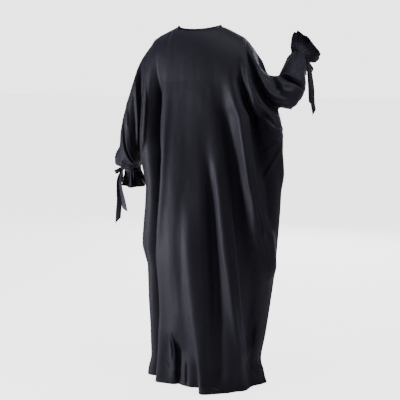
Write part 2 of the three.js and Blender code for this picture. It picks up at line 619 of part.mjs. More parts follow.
/** A tail of a bow, hanging through points given from the knot, with its end cut on a slant. */
function bowTail(knot, { wide, slant, from, to, path }) {
  const curve = new THREE.CatmullRomCurve3(path.map((point) => new THREE.Vector3(...point).add(knot)));
  const count = 9;
  return ribbon(Array.from({ length: count + 1 }, (_, i) => {
    const t = i / count;
    const along = curve.getTangent(t);
    const flat = new THREE.Vector3(...from).lerp(new THREE.Vector3(...to), t);
    flat.addScaledVector(along, -flat.dot(along)).normalize();
    const half = flat.clone().multiplyScalar((wide / 2) * lerp(0.4, 1, ease(t, 0, 0.15)));
    if (i === count) half.addScaledVector(along, slant / 2);
    const thick = along.cross(flat).normalize().multiplyScalar(TIE.ribbon / 2);
    return { middle: curve.getPoint(t), half, thick };
  }));
}

/** A three.js geometry as a solid of the boolean kernel. */
function toSolid(geometry) {
  const { position } = geometry.attributes;
  return new kernel.Manifold(
    new kernel.Mesh({
      numProp: 3,
      vertProperties: Float32Array.from(position.array),
      triVerts: Uint32Array.from(geometry.index.array),
    }),
  );
}

/** One body from overlapping geometries. */
function unite(geometries) {
  const mesh = kernel.Manifold.union(geometries.map(toSolid)).getMesh();
  const geometry = new THREE.BufferGeometry();
  geometry.setAttribute("position", new THREE.BufferAttribute(Float32Array.from(mesh.vertProperties), 3));
  geometry.setIndex(Array.from(mesh.triVerts));
  return geometry;
}

/** The tie of a sleeve, as one strip of cloth: its band, knot, loops and tails. */
function tieGeometry(rows, tie) {
  const centre = armRing(rows, 1).centre;
  const path = armPath(rows, 1);
  const bandRow = (offset, along) =>
    Array.from({ length: 32 }, (_, j) => {
      const point = armPoint(rows, 1, (360 * j) / 32);
      const out = point.clone().sub(centre).normalize();
      return point.addScaledVector(out, offset).addScaledVector(path, along);
    });
  const grid = (offset) => [bandRow(offset, -TIE.wide / 2), bandRow(offset, TIE.wide / 2)];
  const outer = grid(TIE.clear + TIE.thick);
  const band = wallBetween(outer, grid(TIE.clear), trianglesOf(outer, true), true);
  const spot = armPoint(rows, 1, tie.turn);
  const out = spot.clone().sub(centre).normalize();
  const knot = spot.addScaledVector(out, TIE.clear + TIE.knot[0]);
  const turned = new THREE.Matrix4().makeBasis(out, path.clone().cross(out).normalize(), path);
  const sphere = new THREE.SphereGeometry(1, 10, 7).deleteAttribute("uv").deleteAttribute("normal");
  const ball = mergeVertices(sphere, 1e-4);
  ball.scale(...TIE.knot).applyMatrix4(turned).translate(...knot.toArray());
  return unite([
    band,
    ball,
    ...tie.loops.map((loop) => bowLoop(knot, loop)),
    ...tie.tails.map((tail) => bowTail(knot, tail)),
  ]);
}

/** The bound neck edge, standing just off the top of the two panels. */
function bindingGeometry() {
  const rows = LEVELS.length;
  const edge = (panel, side) => {
    const columns = side > 0 ? COLUMNS.back : COLUMNS.front;
    return panel.outer[rows - 1].filter((_, j) => {
      const turn = (180 * j) / columns;
      return turn > NECK_ANGLE + 0.01 && turn < 179.99 - NECK_ANGLE;
    });
  };
  const corner = (x) => new THREE.Vector3(x, 0, 0);
  const front = edge(frontPanel, -1).reverse();
  const loop = [corner(NECK.half), ...edge(backPanel, 1), corner(-NECK.half), ...front];
  const row = (rise, inset) =>
    loop.map((point, i) => {
      const before = loop[(i + loop.length - 1) % loop.length];
      const along = loop[(i + 1) % loop.length].clone().sub(before).normalize();
      const inward = new THREE.Vector3(-point.x, -point.y, 0).projectOnPlane(along).normalize();
      const up = inward.clone().multiplyScalar(0.62).setZ(0.78).projectOnPlane(along).normalize();
      const out = inward.projectOnPlane(up).normalize();
      return point.clone().addScaledVector(up, rise).addScaledVector(out, inset);
    });
  const low = SEAM_GAP + 1.2;
  const outer = [row(low, -0.2), row(low + BINDING.rise, -0.2)];
  const inner = [row(low, BINDING.wall - 0.2), row(low + BINDING.rise, BINDING.wall - 0.2)];
  return wallBetween(outer, inner, trianglesOf(outer, true), true);
}

const cloth = new THREE.MeshStandardMaterial({
  name: "abaya_cloth",
  color: 0x26252a,
  roughness: 0.62,
  metalness: 0,
});
const garment = new THREE.Group();

function addPiece(name, geometry) {
  const mesh = new THREE.Mesh(geometry, cloth.clone());
  mesh.name = name;
  garment.add(mesh);
}

const solidOf = ({ outer, inner, triangles }, round) => wallBetween(outer, inner, triangles, round);

addPiece("back_panel", solidOf(backPanel, false));
addPiece("front_panel", solidOf(frontPanel, false));

addPiece("sleeve_left", solidOf(sleeveOf("left", LEFT_SLEEVE), true));
addPiece("sleeve_right", solidOf(sleeveOf("right", RIGHT_SLEEVE), true));
addPiece("cuff_left", solidOf(cuffOf(LEFT_CUFF, LEFT_SLEEVE), true));
addPiece("cuff_right", solidOf(cuffOf(RIGHT_CUFF, RIGHT_SLEEVE), true));
addPiece("tie_left", tieGeometry(LEFT_SLEEVE, LEFT_TIE));
addPiece("tie_right", tieGeometry(RIGHT_SLEEVE, RIGHT_TIE));
addPiece("neck_binding", bindingGeometry());

export default garment;
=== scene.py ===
"""A black batwing abaya with tied, frilled cuffs, hollow and as it hangs when it is worn.

The cloth is worked out in millimetres, with +Z up, +X to the wearer's left and the back toward +Y. It
becomes metres when a mesh is made of it.
"""
import json
import logging
import math
from dataclasses import dataclass, field
from enum import Enum

import bpy
import numpy as np
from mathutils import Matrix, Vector

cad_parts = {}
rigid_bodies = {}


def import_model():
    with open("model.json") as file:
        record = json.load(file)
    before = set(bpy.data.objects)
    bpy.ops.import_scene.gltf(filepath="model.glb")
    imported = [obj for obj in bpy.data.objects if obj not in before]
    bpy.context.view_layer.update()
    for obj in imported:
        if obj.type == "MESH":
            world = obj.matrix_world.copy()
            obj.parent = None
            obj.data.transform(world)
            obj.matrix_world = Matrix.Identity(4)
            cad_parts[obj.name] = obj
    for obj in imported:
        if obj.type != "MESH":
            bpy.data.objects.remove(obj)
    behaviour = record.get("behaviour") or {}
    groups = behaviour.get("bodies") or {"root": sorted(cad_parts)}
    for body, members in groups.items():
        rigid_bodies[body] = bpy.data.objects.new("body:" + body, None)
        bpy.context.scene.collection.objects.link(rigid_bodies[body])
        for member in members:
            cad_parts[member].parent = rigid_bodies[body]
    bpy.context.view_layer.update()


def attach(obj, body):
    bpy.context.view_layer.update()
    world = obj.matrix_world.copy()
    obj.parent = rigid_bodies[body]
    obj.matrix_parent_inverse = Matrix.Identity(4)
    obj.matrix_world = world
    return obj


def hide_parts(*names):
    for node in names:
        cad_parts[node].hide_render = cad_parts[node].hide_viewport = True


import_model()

log = logging.getLogger("abaya")

MM = 0.001
YOKE = -200.0  # below this the body is a stack of level rings, above it the cloth turns in
HEM = -1420.0
NECK_ANGLE = 60.0  # the shoulder seam meets the neckline at this angle round the body
WALL = 1.2  # thickness of the crepe
PANEL_COLUMNS = 219
GRAIN = 4.2  # millimetres of cloth in a degree round the body, on the whole
SLEEVE_GRAIN = 1.3  # and in a degree round a sleeve
PROUD = 0.25  # how far a stitch's middle stands out of the cloth
CAMERA_TURN = 20.0  # the camera stands this many degrees to the wearer's right of straight behind


def lerp(a: np.ndarray, b: np.ndarray, t: np.ndarray) -> np.ndarray:
    """The value a share t of the way from a to b."""
    return a + (b - a) * t


def ease(value: np.ndarray, start: float, end: float) -> np.ndarray:
    """Eases 0 to 1 as value goes from one limit to the other, up or down, flat at both ends."""
    t = np.clip((value - start) / (end - start), 0.0, 1.0)
    return t * t * (3.0 - 2.0 * t)


def unit(vectors: np.ndarray) -> np.ndarray:
    """Vectors at length 1."""
    return vectors / np.maximum(np.linalg.norm(vectors, axis=-1, keepdims=True), 1e-9)


def cell_corners(grid: np.ndarray) -> np.ndarray:
    """The corner values of a grid's cells.

    Args:
        grid: Values by row and column, each a vector.

    Returns:
        The four corners of each cell, in order round it.
    """
    corners = np.stack([grid[:-1, :-1], grid[:-1, 1:], grid[1:, 1:], grid[1:, :-1]], axis=-2)
    return corners.reshape(-1, 4, grid.shape[-1])


def curve_through(places: np.ndarray, values: np.ndarray, x: np.ndarray) -> np.ndarray:
    """A smooth curve through knots, with no overshoot between them.

    Args:
        places: The knots' places, rising.
        values: The knots' values.
        x: The places to read.

    Returns:
        The curve's value at each place of x.
    """
    slope = np.diff(values) / np.diff(places)
    tangent = np.empty_like(values)
    tangent[0], tangent[-1] = slope[0], slope[-1]
    before, after = slope[:-1], slope[1:]
    same = before * after > 0
    tangent[1:-1] = np.where(same, 2 * before * after / np.where(same, before + after, 1.0), 0.0)
    i = np.clip(np.searchsorted(places, x, side="right") - 1, 0, len(places) - 2)
    step = places[i + 1] - places[i]
    t = np.clip((x - places[i]) / step, 0.0, 1.0)
    a, b, ta, tb = values[i], values[i + 1], tangent[i] * step, tangent[i + 1] * step
    return (a * (1 + 2 * t) + ta * t) * (1 - t) ** 2 + (b * (3 - 2 * t) + tb * (t - 1)) * t * t


class Side(Enum):
    """A body panel: the back is toward +Y and the front toward -Y."""

    BACK = 1
    FRONT = -1


class Arm(Enum):
    """A sleeve's side, and the level where its armhole ends."""

    LEFT = -500.0
    RIGHT = -340.0


class Slot(Enum):
    """What a piece counts as: the cloth itself, or what trims it."""

    CLOTH = "cloth"
    TRIM = "trim"


@dataclass(frozen=True)
class Section:
    """A ring of the body: half-widths at the side seams and in the cloth's middle, seams' places back
    or forward, depths, and half the armholes' openings."""

    level: float
    left: float
    left_in: float
    right: float
    right_in: float
    left_at: float
    right_at: float
    back: float
    front: float
    open_left: float = 0.0
    open_right: float = 0.0


SECTIONS = (
    Section(-1420, 226, 222, 262, 258, -12, -42, 146, 160),
    Section(-1398, 224, 221, 256, 256, -12, -40, 146, 160),
    Section(-1330, 209, 219, 247, 256, -12, -38, 146, 162),
    Section(-1236, 209, 218, 262, 264, -12, -36, 147, 163),
    Section(-1106, 213, 217, 282, 278, -10, -34, 148, 164),
    Section(-950, 216, 218, 302, 290, -8, -30, 149, 165),
    Section(-910, 228, 218, 306, 292, -6, -29, 149, 165),
    Section(-860, 241, 219, 310, 294, -5, -28, 149, 164),
    Section(-771, 233, 220, 316, 296, -4, -26, 149, 163),
    Section(-687, 224, 221, 321, 297, -2, -24, 148, 162),
    Section(-625, 221, 222, 324, 297, -1, -22, 146, 160),
    Section(-560, 236, 223, 327, 296, 0, -18, 144, 157),
    Section(-500, 250, 223, 330, 293, 0, -12, 142, 154),
    Section(-415, 238, 222, 333, 286, 0, -4, 139, 149, 44),
    Section(-340, 226, 219, 331, 277, 0, 0, 136, 144, 55),
    Section(-295, 219, 216, 290, 266, 0, 0, 133, 140, 60, 48),
    Section(-245, 213, 212, 258, 251, 0, 0, 130, 136, 62, 68),
    Section(-200, 208, 208, 236, 236, 0, 0, 126, 131, 62, 76),
)


@dataclass(frozen=True)
class Fold:
    """A ridge down the body, or a trough where out is negative. Its middle follows an angle round the
    body from its top past its mid level to its foot. lean rolls it sideways."""

    top: float
    mid: float
    foot: float
    top_at: float
    mid_at: float
    foot_at: float
    wide: float
    out: float
    lean: float = 0.0

    def lift(self, angle: np.ndarray, level: np.ndarray) -> np.ndarray:
        """How far the fold moves the cloth out.

        Args:
            angle: Angles round the body.
            level: Levels on the body.

        Returns:
            The lift at each angle and level, in millimetres.
        """
        upper = lerp(self.top_at, self.mid_at, (self.top - level) / (self.top - self.mid))
        lower = lerp(self.mid_at, self.foot_at, (self.mid - level) / (self.mid - self.foot))
        off = angle - np.where(level > self.mid, upper, lower)
        off = off - 360.0 * np.round(off / 360.0)
        start = ease(level, self.top, lerp(self.top, self.mid, 0.7))
        end = ease(level, self.foot, self.foot + 90.0)
        return self.out * start * end * np.exp(-((off / self.wide) ** 2))


FOLDS = {
    "left side valley": Fold(-80, -560, -1700, 43, 53, 25, 10, -74),
    "left side valley foot": Fold(-620, -1200, -1700, 42, 33, 24, 9, -26),
    "back panel edge": Fold(-150, -560, -1700, 65, 66, 40, 7, 16, 0.7),
    "left side strip": Fold(-420, -860, -1500, 8, 16, 8, 7, 5),
    "left back swell": Fold(-260, -640, -1280, 76, 76, 72, 15, 19),
    "left back hollow": Fold(-860, -1300, -1800, 66, 66, 66, 20, -32),
    "centre ridge": Fold(-560, -1000, -1700, 92, 98, 113, 8, 20, 0.9),
    "centre step": Fold(-1270, -1370, -1800, 95, 95, 95, 5, -22, 0.5),
    "centre trough": Fold(-260, -820, -1420, 104, 110, 118, 8, -24),
    "right long ridge": Fold(-300, -800, -1500, 106, 123, 152, 9, 16),
    "right long trough": Fold(-140, -560, -1300, 118, 124, 160, 8, -22),
    "shoulder ridge": Fold(-120, -480, -1000, 131, 137, 174, 8, 22),
    "shoulder trough": Fold(-100, -400, -800, 145, 147, 162, 8, -30),
    "underarm ridge": Fold(-170, -360, -640, 154, 160, 188, 7, 10),
    "hem dent": Fold(-1160, -1350, -1700, 74, 72, 71, 5, -12),
    "hem hollow": Fold(-1080, -1390, -1800, 83, 85, 85, 14, -35),
    "right hem hollow": Fold(-900, -1300, -1800, 150, 155, 158, 20, -32),
    "right hem flick": Fold(-1320, -1380, -1500, 180, 184, 188, 9, 12),
    "front left valley": Fold(-180, -700, -1700, -34, -40, -38, 10, -26),
    "front left ridge": Fold(-220, -700, -1700, -56, -59, -60, 9, 14),
    "front centre valley": Fold(-330, -800, -1700, -84, -80, -78, 9, -18),
    "front centre ridge": Fold(-400, -850, -1700, -102, -102, -98, 9, 14),
    "front right valley": Fold(-200, -700, -1700, -128, -126, -122, 10, -24),
    "front right ridge": Fold(-240, -750, -1700, -148, -147, -144, 9, 12),
}


@dataclass(frozen=True)
class Crease:
    """A soft ridge or trough along a path on a piece, in the piece's own across and along sizes.

    wide is half its width and out its height, in millimetres. flank is the share of its height that
    the cloth sinks on one side of it, and its sign is the side.
    """

    path: tuple[tuple[float, float], ...]
    wide: float
    out: float
    flank: float = 0.0

    def lift(self, across: np.ndarray, along: np.ndarray, grain: tuple[float, float]) -> np.ndarray:
        """How far the crease moves the cloth out.

        Args:
            across: Each point's place across the piece.
            along: Each point's place along it.
            grain: Millimetres of cloth in one step of across and of along.

        Returns:
            The lift at each point, in millimetres.
        """
        knots = np.array(self.path, float) * grain
        spots = np.stack(np.broadcast_arrays(across * grain[0], along * grain[1]), axis=-1)
        steps = np.diff(knots, axis=0)
        lengths = np.linalg.norm(steps, axis=1)
        best = np.full(spots.shape[:-1], 1e9)
        signed = np.zeros_like(best)
        run = np.zeros_like(best)
        total = lengths.sum()
        for start, step, length, before in zip(knots, steps, lengths, np.cumsum(lengths) - lengths):
            off = spots - start
            share = np.clip((off @ step) / length**2, 0.0, 1.0)
            gap = np.linalg.norm(off - share[..., None] * step, axis=-1)
            nearer = gap < best
            turn = np.sign(step[0] * off[..., 1] - step[1] * off[..., 0])
            best = np.where(nearer, gap, best)
            signed = np.where(nearer, gap * turn, signed)
            run = np.where(nearer, (before + share * length) / total, run)
        taper = ease(run, 0.0, 0.3) * ease(run, 1.0, 0.7)
        x = signed / self.wide
        beside = (x - 1.5 * np.sign(self.flank)) / 0.9
        shape = np.exp(-(x**2)) - abs(self.flank) * np.exp(-(beside**2))
        return self.out * taper * shape


@dataclass(frozen=True)
class Ripple:
    """The cloth's slight unevenness: smooth noise with its own cell, in millimetres."""

    across: float
    along: float
    out: float
    seed: int
    cells: int = 64

    def lift(self, across: np.ndarray, along: np.ndarray) -> np.ndarray:
        """The noise at some places.

        Args:
            across: Places across, in the same unit as the cell.
            along: Places along.

        Returns:
            The noise at each place, between minus and plus out.
        """
        table = np.random.default_rng(self.seed).uniform(-1.0, 1.0, (self.cells, self.cells))
        u, v = np.broadcast_arrays(across / self.across, along / self.along)
        i, j = np.floor(u).astype(int), np.floor(v).astype(int)
        s, t = ease(u - i, 0.0, 1.0), ease(v - j, 0.0, 1.0)
        left, right = i % self.cells, (i + 1) % self.cells
        near, far = j % self.cells, (j + 1) % self.cells
        low = lerp(table[left, near], table[right, near], s)
        high = lerp(table[left, far], table[right, far], s)
        return self.out * lerp(low, high, t)


PANEL_RIPPLES = (Ripple(46.0, 170.0, 1.5, 11), Ripple(17.0, 60.0, 0.5, 12))
SLEEVE_RIPPLE = Ripple(40.0, 60.0, 1.3, 21)
HEM_CURL = Ripple(40.0, 900.0, 3.5, 31)
# In degrees and shares of a sleeve or cuff: how unevenly its gathers and the frill's waves stand
GATHER_SHIFT = Ripple(31.0, 0.4, 9.0, 5)
FRILL_SHIFT = Ripple(50.0, 0.5, 12.0, 8)


@dataclass(frozen=True)
class BodyForm:
    """The body's surface, from its rings, its neck and shoulder line, and its folds."""

    shoulder_half: float = 185.0
    shoulder_drop: float = 45.0
    neck_half: float = 90.0
    neck_deep: tuple[float, float] = (62.0, 80.0)
    neck_drop: tuple[float, float] = (16.0, 98.0)
    roundness: float = 0.96
    folds_begin: float = -30.0
    folds_top: float = -40.0

    def size(self, name: str, level: np.ndarray) -> np.ndarray:
        """One named size of the body.

        Args:
            name: A field of Section.
            level: Levels on the body.

        Returns:
            The size at each level.
        """
        places = np.array([row.level for row in SECTIONS], float)
        values = np.array([getattr(row, name) for row in SECTIONS], float)
        return curve_through(places, values, level)

    def ring(self, side: Side, angle: np.ndarray, level: np.ndarray) -> tuple[np.ndarray, np.ndarray]:
        """The plain ring of the body.

        Args:
            side: The panel.
            angle: Angles round the body, as a row.
            level: Levels, as a column.

        Returns:
            The points, and the flat directions out of the cloth.
        """
        c, s = np.cos(np.radians(angle)), np.sin(np.radians(angle))
        inner = np.where(c > 0, self.size("left_in", level), self.size("right_in", level))
        edge = np.where(c > 0, self.size("left", level), self.size("right", level))
        wide = lerp(inner, edge, c**4)
        deep = self.size("back" if side is Side.BACK else "front", level)
        leftness = ease(c, -1.0, 1.0)
        seam = lerp(self.size("right_at", level), self.size("left_at", level), leftness)
        gap = lerp(self.size("open_right", level), self.size("open_left", level), leftness)
        y = side.value * lerp(side.value * seam + gap, deep, np.abs(s) ** self.roundness)
        x = wide * np.sign(c) * np.abs(c) ** self.roundness
        point = np.stack(np.broadcast_arrays(x, y, level), axis=-1)
        out = np.stack(np.broadcast_arrays(c / wide, s / deep, 0.0), axis=-1)
        return point, unit(out)

    def top(self, side: Side, angle: np.ndarray) -> np.ndarray:
        """The panel's top edge: the shoulder seams, and the neckline between them.

        Args:
            side: The panel.
            angle: Angles round the body, as a row.

        Returns:
            The edge's points.
        """
        c = np.cos(np.radians(angle))
        corner = math.cos(math.radians(NECK_ANGLE))
        t = np.clip((np.abs(c) - corner) / (1 - corner), 0.0, 1.0)
        seam_x = np.sign(c) * lerp(self.neck_half, self.shoulder_half, t)
        turn = math.pi * np.clip((np.abs(angle) - NECK_ANGLE) / (180.0 - 2 * NECK_ANGLE), 0.0, 1.0)
        pick = 0 if side is Side.BACK else 1
        sine = np.maximum(np.sin(turn), 0.0)
        on_seam = np.abs(c) >= corner
        x = np.where(on_seam, seam_x, self.neck_half * np.cos(turn))
        y = np.where(on_seam, 0.0, side.value * self.neck_deep[pick] * sine)
        z = np.where(on_seam, -self.shoulder_drop * t**1.15, -self.neck_drop[pick] * sine**1.4)
        return np.stack([x, y, z], axis=-1)

    def surface(self, side: Side, angle: np.ndarray, level: np.ndarray) -> np.ndarray:
        """The outer face of a panel's cloth, with its main folds.

        Args:
            side: The panel.
            angle: Angles round the body, as a row.
            level: Levels, as a column.

        Returns:
            The points, by row and column.
        """
        ring, out = self.ring(side, angle, np.minimum(level, YOKE))
        top = np.broadcast_to(self.top(side, angle), ring.shape)
        turn = math.pi / 2 * np.clip(level / YOKE, 0.0, 1.0)
        cosine = np.maximum(np.cos(turn), 0.0)
        over = np.stack(
            [
                lerp(ring[..., 0], top[..., 0], cosine**1.5),
                lerp(top[..., 1], ring[..., 1], np.sin(turn)),
                lerp(YOKE, top[..., 2], cosine),
            ],
            axis=-1,
        )
        above = (level > YOKE)[..., None]
        point = np.where(above, over, ring)
        fade = np.where(level > YOKE, ease(level, self.folds_begin, YOKE), 1.0)
        fold_level = np.minimum(level, self.folds_top)
        lifts = [(fold, fold.lift(angle, fold_level)) for fold in FOLDS.values()]
        height = sum(lift for _, lift in lifts) * fade
        along = sum(fold.lean * lift for fold, lift in lifts) * fade
        sideways = np.stack([-out[..., 1], out[..., 0], np.zeros(out.shape[:-1])], axis=-1)
        return point + out * height[..., None] - sideways * along[..., None]


@dataclass(frozen=True)
class ArmRow:
    """A ring of a sleeve: a point of the line over the arm, one of the line under it, the direction of
    its back, and half its size that way."""

    at: float
    over: tuple[float, float, float]
    under: tuple[float, float, float]
    back: tuple[float, float, float]
    deep: float


LEFT_SLEEVE = (
    ArmRow(0, (185, 0, -45), (250, 0, -500), (0, 1, 0), 62),
    ArmRow(0.1, (218, 0, -84), (253, -5, -505), (0, 1, 0), 66),
    ArmRow(0.2, (246, 2, -134), (256, -11, -510), (0, 1, 0), 71),
    ArmRow(0.3, (268, 6, -196), (259, -16, -515), (0, 1, 0), 76),
    ArmRow(0.4, (292, 8, -266), (262, -21, -521), (0, 1, 0), 79),
    ArmRow(0.5, (316, 6, -334), (265, -27, -526), (0, 1, 0), 80),
    ArmRow(0.6, (336, 0, -400), (268, -32, -531), (0, 1, 0), 78),
    ArmRow(0.7, (351, -12, -462), (271, -37, -537), (0, 1, -0.05), 72),
    ArmRow(0.8, (381, -28, -510), (275, -43, -545), (0, 1, -0.12), 64),
    ArmRow(0.87, (384, -40, -536), (279, -49, -552), (0, 1, -0.2), 56),
    ArmRow(0.94, (360, -52, -551), (285, -55, -557), (0, 1, -0.24), 40),
    ArmRow(0.97, (352, -56, -554), (286, -58, -558), (-0.02, 1, -0.24), 34),
    ArmRow(1, (352, -58, -562), (286, -60, -566), (-0.02, 1, -0.24), 34),
)
RIGHT_SLEEVE = (
    ArmRow(0, (-185, 0, -45), (-331, 0, -340), (-0.4, 0.9, 0.15), 76),
    ArmRow(0.05, (-200, 0, -62), (-346, 0, -335), (-0.4, 0.9, 0.15), 76),
    ArmRow(0.1, (-215, -2, -86), (-353, -6, -328), (-0.4, 0.9, 0.15), 76),
    ArmRow(0.2, (-234, -12, -144), (-359, -24, -314), (-0.4, 0.86, 0.24), 74),
    ArmRow(0.31, (-252, -32, -185), (-366, -44, -298), (-0.45, 0.74, 0.42), 72),
    ArmRow(0.42, (-273, -56, -202), (-379, -62, -280), (-0.55, 0.6, 0.56), 72),
    ArmRow(0.53, (-284, -78, -204), (-391, -84, -258), (-0.5, 0.58, 0.62), 66),
    ArmRow(0.64, (-290, -100, -180), (-392, -108, -232), (-0.46, 0.66, 0.6), 61),
    ArmRow(0.75, (-300, -128, -147), (-382, -134, -202), (-0.46, 0.65, 0.6), 55),
    ArmRow(0.86, (-309, -160, -118), (-380, -162, -168), (-0.44, 0.65, 0.61), 47),
    ArmRow(0.95, (-316, -184, -101), (-372, -184, -135), (-0.38, 0.69, 0.61), 35),
    ArmRow(1, (-316, -190, -94), (-372, -190, -128), (-0.38, 0.69, 0.61), 35),
)
LEFT_CUFF = (
    ArmRow(0.14, (352, -60, -571), (286, -62, -575), (-0.02, 1, -0.24), 34),
    ArmRow(0.4, (356, -64, -590), (281, -66, -594), (-0.02, 1, -0.24), 41),
    ArmRow(0.7, (363, -68, -607), (273, -71, -614), (-0.02, 1, -0.24), 47),
    ArmRow(1, (370, -72, -626), (266, -76, -634), (-0.02, 1, -0.24), 53),
)
RIGHT_CUFF = (
    ArmRow(0.14, (-316, -197, -88), (-372, -197, -122), (-0.38, 0.69, 0.62), 35),
    ArmRow(0.4, (-307, -214, -68), (-389, -207, -124), (-0.36, 0.7, 0.62), 42),
    ArmRow(0.7, (-306, -231, -44), (-409, -218, -124), (-0.33, 0.77, 0.55), 54),
    ArmRow(1, (-313, -246, -20), (-424, -226, -110), (-0.18, 0.89, 0.42), 66),
)


@dataclass(frozen=True)
class ArmForm:
    """A sleeve's or a cuff's plain tube through the rings of its rows."""

    rows: tuple[ArmRow, ...]

    def line(self, name: str, place: np.ndarray) -> np.ndarray:
        """A named line through the rows.

        Args:
            name: A field of ArmRow that holds a point or a direction.
            place: Places along the rows.

        Returns:
            The line's value at each place.
        """
        places = np.array([row.at for row in self.rows], float)
        values = np.array([getattr(row, name) for row in self.rows], float)
        return np.stack([curve_through(places, values[:, k], place) for k in range(3)], axis=-1)

    def ring(self, place: np.ndarray) -> tuple[np.ndarray, np.ndarray, np.ndarray]:
        """The rings at some places.

        Args:
            place: Places along the rows.

        Returns:
            Their middles, their long half axes and their half axes toward the back.
        """
        over, under = self.line("over", place), self.line("under", place)
        long = (over - under) / 2
        along = unit(long)
        back = self.line("back", place)
        back = unit(back - (back * along).sum(-1, keepdims=True) * along)
        places = np.array([row.at for row in self.rows], float)
        deep = curve_through(places, np.array([row.deep for row in self.rows], float), place)
        return (over + under) / 2, long, back * deep[..., None]

    def path(self, place: float) -> np.ndarray:
        """The direction of the arm.

        Args:
            place: A place along the rows.

        Returns:
            The direction there, toward the hand.
        """
        ends = np.clip([place - 0.02, place + 0.02], self.rows[0].at, 1.0)
        middles = self.ring(ends)[0]
        return unit(middles[1] - middles[0])

    def points(self, place: np.ndarray, turn: np.ndarray, wave: np.ndarray | float = 0.0) -> np.ndarray:
        """Points of the tube.

        Args:
            place: Places along the rows, one for each row of points.
            turn: Degrees round the ring: 0 on the over line, 90 at the back, 180 on the under line.
            wave: How far each point stands out of the plain ring.

        Returns:
            The points, by row and column.
        """
        middle, long, back = (part[:, None, :] for part in self.ring(place))
        c, s = np.cos(np.radians(turn))[..., None], np.sin(np.radians(turn))[..., None]
        out = long * c + back * s
        size = np.linalg.norm(out, axis=-1, keepdims=True)
        return middle + out * (1 + np.asarray(wave)[..., None] / size)


@dataclass
class Sheet:
    """A piece of cloth as a grid of outer points. across and along are each column's and row's places
    for its creases, and ring says that the last column meets the first."""

    name: str
    points: np.ndarray
    across: np.ndarray
    along: np.ndarray
    ring: bool
    turned: bool = False
    normals: np.ndarray = field(default_factory=lambda: np.zeros(0))
    start: int = 0

    @property
    def count(self) -> int:
        """How many points the grid has."""
        return self.points.shape[0] * self.points.shape[1]

    def ids(self) -> np.ndarray:
        """Each point's number in the whole net."""
        return self.start + np.arange(self.count).reshape(self.points.shape[:2])

    def quads(self) -> np.ndarray:
        """The faces between the grid's points.

        Returns:
            The four numbers of each face, turned out.
        """
        ids = self.ids()
        if self.ring:
            ids = np.concatenate([ids, ids[:, :1]], axis=1)
        quads = cell_corners(ids[..., None])[..., 0]
        return quads[:, ::-1] if self.turned else quads


class ClothNet:
    """The sheets of the garment sewn into one net, so that folds and shading run on over the seams."""

    def __init__(self, sheets: list[Sheet]) -> None:
        """Numbers the points of the sheets.

        Args:
            sheets: The sheets, in any order.
        """
        self.sheets = sheets
        start = 0
        for sheet in sheets:
            sheet.start = start
            start += sheet.count
        self.owner = np.arange(start)
        self.points = np.concatenate([sheet.points.reshape(-1, 3) for sheet in sheets])

    def sew(self, first: np.ndarray, second: np.ndarray) -> None:
        """Makes the points of second the same as those of first, one by one."""
        self.owner[second] = self.owner[first]

    def settle(self) -> None:
        """Gives sewn points one place."""
        for _ in range(3):
            self.owner = self.owner[self.owner]
        self.points = self.points[self.owner]
        self.quads = self.owner[np.concatenate([sheet.quads() for sheet in self.sheets])]

    def relax(self, weight: np.ndarray, rounds: int) -> None:
        """Draws each point toward the middle of its neighbours.

        Args:
            weight: How strongly, for each point, from 0 to 1.
            rounds: How many times.
        """
        pairs = np.concatenate([self.quads[:, [k, (k + 1) % 4]] for k in range(4)])
        both = np.concatenate([pairs, pairs[:, ::-1]])
        total = len(self.points)
        degree = np.maximum(np.bincount(both[:, 0], minlength=total), 1)
        pull = (weight[self.owner] * 0.5)[:, None]
        for _ in range(rounds):
            near = self.points[both[:, 1]]
            middle = [np.bincount(both[:, 0], near[:, k], total) / degree for k in range(3)]
            self.points = self.points + pull * (np.stack(middle, axis=-1) - self.points)
            self.points = self.points[self.owner]

    def face_out(self) -> np.ndarray:
        """The net's normals.

        Returns:
            The normal at each point.
        """
        a, b, c, d = (self.points[self.quads[:, k]] for k in range(4))
        flat = np.cross(c - a, d - b)
        total = len(self.points)
        normals = np.zeros((total, 3))
        for k in range(4):
            for axis in range(3):
                normals[:, axis] += np.bincount(self.quads[:, k], flat[:, axis], total)
        return unit(normals[self.owner])

    def push(self, lift: np.ndarray) -> None:
        """Moves each point out along its normal by lift, in millimetres."""
        self.points = self.points + self.face_out() * lift[self.owner][:, None]

    def hand_back(self) -> None:
        """Gives each sheet its points and normals."""
        normals = self.face_out()
        for sheet in self.sheets:
            shape = sheet.points.shape
            spots = slice(sheet.start, sheet.start + sheet.count)
            sheet.points = self.points[spots].reshape(shape)
            sheet.normals = normals[spots].reshape(shape)


